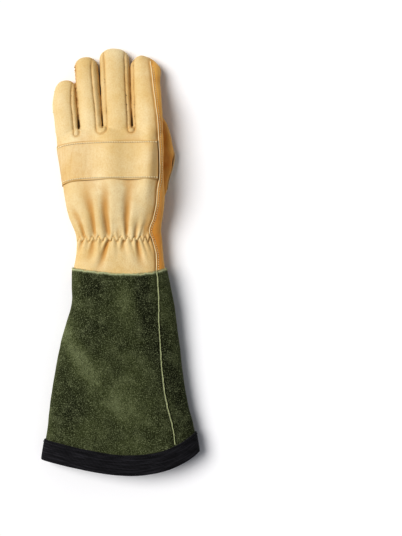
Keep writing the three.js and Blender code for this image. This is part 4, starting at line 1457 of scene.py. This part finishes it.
def seam_line(ys, offset=0.0):
    """Plan line along the seam on the back, or beside it."""
    return np.stack([seam_x(ys) + offset, ys], 1)


def add_hand_stitches(trees):
    seam = seam_line(np.linspace(CUFF_TOP_Y - 4, FAR_END_Y - 19, 400), STITCH_INSET)
    rows = (
        # line, thread radius, hole radius
        (band_line(BAND_STITCH_INSET), STITCH_RADIUS, BAND_HOLE_RADIUS),
        (band_line(BAND_WIDTH - BAND_STITCH_INSET), STITCH_RADIUS, BAND_HOLE_RADIUS),
        (seam, SEAM_STITCH_RADIUS, SEAM_HOLE_RADIUS),
    )
    threads = []
    hole_shades = []
    for line, radius, hole in rows:
        found = dropped(spaced(line, STITCH_PITCH), trees)
        threads += sewn(found, STITCH_LENGTH, radius, 0.9)
        hole_shades += needle_holes(found, hole)
    add_stitches("stitches_hand", threads, cream_thread)
    add_stitches("needle_hole_shade_hand", hole_shades, needle_hole_shade)


def thumb_base_line(offset):
    """Curve on the palm round the base of the thumb."""
    turn = np.linspace(*THUMB_BASE_TURN, 120) * math.pi
    size = np.array([HAND_WIDTH, PALM_LENGTH])
    reach = THUMB_BASE_REACH * size + offset
    return THUMB_BASE_MIDDLE * size + reach * np.stack([np.cos(turn), np.sin(turn)], 1)


def add_palm_stitches(trees):
    parts = []
    for offset in PALM_STITCH_OFFSETS:
        line = spaced(thumb_base_line(offset), STITCH_PITCH)
        parts += sewn(dropped(line, trees, from_above=False), PALM_STITCH_LENGTH, STITCH_RADIUS)
    return add_stitches("stitches_palm", parts, cream_thread)


# Raised raw edge along the seam on the back

def add_welt(name, lines, material, node):
    """Closed raw edge with one line of points for each corner of its profile."""
    faces = closed_faces(len(lines[0]), len(lines))
    add_piece(name, np.stack(lines, 1).reshape(-1, 3), faces, material, [node])


def add_hand_welt(trees):
    index_tip = PALM_LENGTH + FINGER_SIZES["index"][1] - FINGERTIP_ROUND / 3
    index_tip -= finger_forms["index"].fall(seam_x(index_tip), index_tip)
    ys = np.linspace(CUFF_TOP_Y - 5, index_tip, 620)
    found = dropped(seam_line(ys), trees)
    base = np.array([point for point, _ in found])
    soft = np.convolve(np.pad(base[:, 2], 6, mode="edge"), np.ones(13) / 13, mode="valid")
    top = np.maximum(base[:, 2], soft)
    rise = WELT_RISE + 0.25 * noise(base, 1.7, 31)
    rag = 0.18 * noise(base, 2.3, 32)
    lines = [np.stack([base[:, 0] + across * WELT_WIDTH * 0.40 + rag, base[:, 1], top + up * rise], 1)
             for across, up in WELT_PROFILE]
    add_welt("raised_hand_seam", lines, cut_leather, "hand_seam_welt")


# Cuff, its seam, binding and loop

def cuff_y(along, across):
    deepest = TOP_SAG + (HEM_SAG - TOP_SAG) * along
    sag = deepest * (1 - across ** 2) * (1 + SAG_LEAN * across)
    return CUFF_TOP_Y - along * CUFF_LENGTH - sag + HEM_SKEW * across * along


def cuff_angles(count):
    """Angles round the cuff at about even distances along the skin."""
    trial = np.linspace(0, 2 * math.pi, 4000)
    length = run_length(cuff_form.skin(np.full(4000, CUFF_TOP_Y - CUFF_LENGTH / 2), trial))
    return np.interp(np.linspace(0, length[-1], count, endpoint=False), length, trial)


def cuff_ring(along, angles, out, up=0.0):
    across = bulge(np.cos(angles), cuff_form.power)
    return cuff_form.skin(cuff_y(along, across) + up, angles, out)


def cuff_relief(points, along):
    """Soft dents of the suede, the slight pull along its seam, and the seam itself, with painted shade
    along it.
    """
    dents = noise(points, 26.0, 41, (1.0, 0.6, 1.0)) * 0.9 + noise(points, 9.0, 42) * 0.22
    held = smooth_step(along * 8) * smooth_step((1 - along) * 8)
    middle, half, _ = cuff_form.section(points[:, 1])
    from_seam = points[:, 0] - middle - cuff_form.at("seam", points[:, 1]) * half
    upper = points[:, 2] > cuff_form.at("mid", points[:, 1])
    height = np.minimum(dents * held, 0.8) - 0.7 * upper * bell(from_seam, 1.8)
    return height, upper * bell(from_seam, 1.5)


def add_cuff():
    rows = int(CUFF_LENGTH / CUFF_STEP)
    along = np.concatenate([[0, 0.0022], np.linspace(0.006, 1, rows)])
    angles = cuff_angles(CUFF_AROUND)
    points = np.stack([cuff_ring(a, angles, 0.0) for a in along])
    ragged = noise(points[0], 1.9, 43) * 0.75 + noise(points[0], 5.5, 44) * 0.65
    for k in range(6):
        points[k, :, 1] += ragged * (1 - k / 6)
    points = points.reshape(-1, 3)
    share = np.repeat(along, CUFF_AROUND)
    faces = grid_faces(len(along), CUFF_AROUND, wrap=True)
    triangles = facing_out(points, triangles_of(faces))
    faces = quads_out(points, faces)
    height, seam = cuff_relief(points, share)
    points = points + normals_of(points, triangles) * height[:, None]
    points[:, 2] = np.maximum(points[:, 2], cuff_form.level(points[:, 1]))
    # edge is the paler raw top edge; painted shade along the seam; the nap value holds brushed patches
    # with painted light and shade of the soft folds
    values = {"edge": bell(share * CUFF_LENGTH, 1.2), "crease": 0.5 * seam, "nap": brushing_and_painted_shade(points)}
    cuff = add_piece("suede_cuff", points, faces, green_suede, ["gauntlet_cuff"],
                     values, wall=SUEDE_WALL)
    return cuff, surface_area(points, triangles) * 1e-6


def hem_length():
    """Length round the hem in metres."""
    ring = cuff_ring(1.0, cuff_angles(400), 0.0)
    return np.linalg.norm(np.roll(ring, -1, 0) - ring, axis=1).sum() * 0.001


def brushing_and_painted_shade(points):
    """Lighter and darker brushed areas of the cuff, partly painted light and shade of its soft folds,
    from -1 to 1.
    """
    total = np.zeros(len(points))
    for x, along, wide, long, lean, amount in BRUSHED_AND_SHADED_ROWS:
        down = CUFF_TOP_Y - points[:, 1] - along
        total += amount * bell(points[:, 0] - x - lean * down, wide) * bell(down, long)
    return total


def surface_area(points, triangles):
    a, b, c = (points[triangles[:, k]] for k in range(3))
    return np.linalg.norm(np.cross(b - a, c - a), axis=1).sum() / 2


def add_fuzz():
    """Loose fibres along the cuff's raw upper edge."""
    rng = np.random.default_rng(7)
    angles = rng.uniform(0, 2 * math.pi, FIBRES)
    base = cuff_ring(0.0, angles, -rng.uniform(0, SUEDE_WALL, FIBRES))
    length = rng.uniform(*FIBRE_LENGTH, FIBRES)
    lean = rng.normal(0, 0.5, (FIBRES, 3))
    tip = base + (np.array([0.0, 1.0, 0.12]) + lean) * length[:, None]
    across = rng.normal(0, 1, (FIBRES, 3))
    across = across / np.linalg.norm(across, axis=1, keepdims=True) * FIBRE_WIDTH
    corners = [base - across, base + across, base + across[:, [1, 2, 0]], tip]
    points = np.stack(corners, 1).reshape(-1, 3)
    points[:, 2] = np.maximum(points[:, 2], ABOVE_FLOOR)
    start = np.arange(FIBRES)[:, None] * 4
    faces = np.concatenate([start + np.array([side]) for side in ((0, 1, 3), (1, 2, 3), (2, 0, 3))])
    return add_piece("suede_fibres", points, faces, raw_edge)


def add_cuff_welt():
    """Raised raw edge along the cuff's one long seam."""
    last = 1 - (BINDING_WIDTH + 2 * SEAM_GAP) / CUFF_LENGTH
    along = np.linspace(0.0, last, 420)
    at = cuff_form.at("seam", CUFF_TOP_Y - along * CUFF_LENGTH)
    y = cuff_y(along, at)
    _, half, _ = cuff_form.section(y)
    guide = np.stack([at * half, y, np.zeros_like(y)], 1)
    rise = WELT_RISE + 0.05 + 0.25 * noise(guide, 1.5, 51)
    rag = 0.30 * noise(guide, 2.1, 52)
    lines = [cuff_form.skin(y, cuff_form.angle_of(at + (across * WELT_WIDTH * 0.36 + rag) / half),
                            up * rise) for across, up in WELT_PROFILE]
    add_welt("raised_cuff_seam", lines, seam_edge, "cuff_seam_welt")


def binding_profile():
    """Outline of the folded tape: how far up from the hem and how far out of the cuff."""
    inner = -SUEDE_WALL - SEAM_GAP
    under = inner - TAPE_WALL
    edge = SEAM_GAP + TAPE_WALL
    soft = 0.45
    steps = np.linspace(BINDING_WIDTH - 0.4, 1.0, 12)
    outer = [(BINDING_WIDTH, SEAM_GAP), (BINDING_WIDTH, edge - soft)]
    outer += [(up, edge - 0.12 * bell(up - BINDING_WIDTH + 2.6, 0.5)) for up in steps]
    fold = [(-edge * 0.55, edge - 0.1), (-edge, edge - 0.9), (-edge, under + 0.9),
            (-edge * 0.55, under + 0.1)]
    back = [(up, under) for up in steps[::-1]]
    back += [(BINDING_WIDTH, under + soft), (BINDING_WIDTH, inner)]
    return outer + fold + back + [(-SEAM_GAP, inner), (-SEAM_GAP, SEAM_GAP)]


def run_length(points):
    """Length along a row of points, from its start to each point."""
    return np.concatenate([[0], np.cumsum(np.linalg.norm(np.diff(points, axis=0), axis=1))])


def add_binding():
    angles = cuff_angles(BINDING_AROUND)
    grid = np.stack([cuff_ring(1.0, angles, out, up) for up, out in binding_profile()])
    lengths = np.stack(np.meshgrid(run_length(grid[4]), run_length(grid[:, 0])), -1).reshape(-1, 2)
    points = grid.reshape(-1, 3)
    points = points + np.array([0.0, 0.25, 0.0]) * noise(points, 14.0, 61)[:, None]
    points[:, 2] = np.maximum(points[:, 2], 0.0)
    faces = quads_out(points, grid_faces(len(grid) + 1, BINDING_AROUND, wrap=True) % len(points))
    return add_piece("tape_binding", points, faces, black_tape, ["cuff_binding"],
                     lengths=lengths)


def add_binding_stitches():
    parts = []
    for side in (1, -1):
        angles = cuff_angles(1400)
        angles = angles[np.sin(angles) * side >= 0]
        ring = cuff_ring(1.0, angles, SEAM_GAP + TAPE_WALL, BINDING_WIDTH - BINDING_STITCH_INSET)
        outward = np.array([0.0, 0.0, side])
        line = spaced(ring[np.argsort(ring[:, 0])], BINDING_STITCH_PITCH)
        found = [(point, outward) for point in line]
        parts += sewn(found, BINDING_STITCH_LENGTH, BINDING_STITCH_RADIUS, 0.1)
    return add_stitches("stitches_binding", parts, black_thread)


def loop_outline(root_y, end_y):
    """Side view of the folded tape: round its outer side and back along its inner side."""
    bend = TAPE_WALL / 2
    turn = np.linspace(-math.pi / 2, math.pi / 2, 9)[1:-1]
    run = np.linspace(root_y, end_y - bend, 16)

    def side(sink):
        reach = bend - sink
        arc = [(end_y - bend + reach * math.cos(t), bend + reach * math.sin(t)) for t in turn]
        return [(y, sink) for y in run] + arc + [(y, TAPE_WALL - sink) for y in run[::-1]]

    return np.array(side(0.0) + side((TAPE_WALL - LOOP_SLACK) / 2)[::-1])


def add_loop():
    """Folded tape under the cuff, sewn in at the binding."""
    loop_x = MOUTH_WIDTH / 2 - LOOP_PLACE * MOUTH_WIDTH
    sides = np.array([-0.5, 0.5])
    edges = (loop_x + sides * LOOP_WIDTH) / (MOUTH_WIDTH / 2)
    root_y = cuff_y(1.0, edges).max() + BINDING_WIDTH + 2 * SEAM_GAP
    outline = loop_outline(root_y, root_y + LOOP_LENGTH)
    across = np.linspace(-0.5, 0.5, 8) * LOOP_WIDTH + loop_x
    points = np.array([[x, y, z] for x in across for y, z in outline])
    count = len(outline)
    faces = closed_faces(len(across), count)[:-2]
    for start, turn in ((0, 1), (len(points) - count, -1)):
        for k in range(count // 2 - 1):
            cap = [start + k, start + k + 1, start + count - 2 - k, start + count - 1 - k]
            faces.append(cap[::turn])
    lengths = np.array([[x - across[0], t] for x in across for t in run_length(outline)])
    return add_piece("tape_loop", points, faces, black_tape, ["hang_loop"],
                     lengths=lengths)


# Building

hand_tree = finder(*add_hand())
thumb_tree = finder(*add_thumb())
band_tree = finder_of(add_band())
patch_tree = finder_of(add_patch())
add_hand_welt([hand_tree])
add_hand_stitches([hand_tree, band_tree])
add_palm_stitches([hand_tree, thumb_tree, patch_tree])
cuff, cuff_area = add_cuff()
add_fuzz()
add_cuff_welt()
binding = add_binding()
add_binding_stitches()
add_loop()

# Length round the hem, in metres
hem_round = hem_length()


# Floor, light and camera

def add_floor():
    mesh = bpy.data.meshes.new("floor")
    steps = np.linspace(-FLOOR_REACH, FLOOR_REACH, 9)
    points = [(x, y, 0.0) for y in steps for x in steps]
    mesh.from_pydata(points, [], grid_faces(9, 9).tolist())
    floor = add_object("floor", mesh)
    mesh.materials.append(floor_material("floor", FLOOR))


def add_light():
    key = bpy.data.lights.new("key", "SUN")
    key.energy = LIGHT_STRENGTH
    key.angle = math.radians(LIGHT_ANGLE)
    key.color = LIGHT_COLOUR
    sun = add_object("key", key)
    sun.rotation_euler = Vector(LIGHT_FROM).to_track_quat("Z", "Y").to_euler()
    world = bpy.data.worlds.new("studio")
    world.use_nodes = True
    background = world.node_tree.nodes["Background"]
    background.inputs["Color"].default_value = SKY_COLOUR
    background.inputs["Strength"].default_value = SKY_STRENGTH
    bpy.context.scene.world = world


def add_camera():
    data = bpy.data.cameras.new("camera")
    data.sensor_width = 36
    reach = (VIEW_HEIGHT - OBJECT_MIDDLE_Z) * 0.001
    data.lens = 36 * reach / (FRAME_PIXELS * PIXEL_MM * 0.001)
    camera = add_object("camera", data)
    camera.location = (VIEW_X * 0.001, VIEW_Y * 0.001, VIEW_HEIGHT * 0.001)
    bpy.context.scene.camera = camera


add_floor()
add_light()
add_camera()
bpy.context.scene.view_settings.view_transform = "Standard"
bpy.context.scene.view_settings.look = "High Contrast"
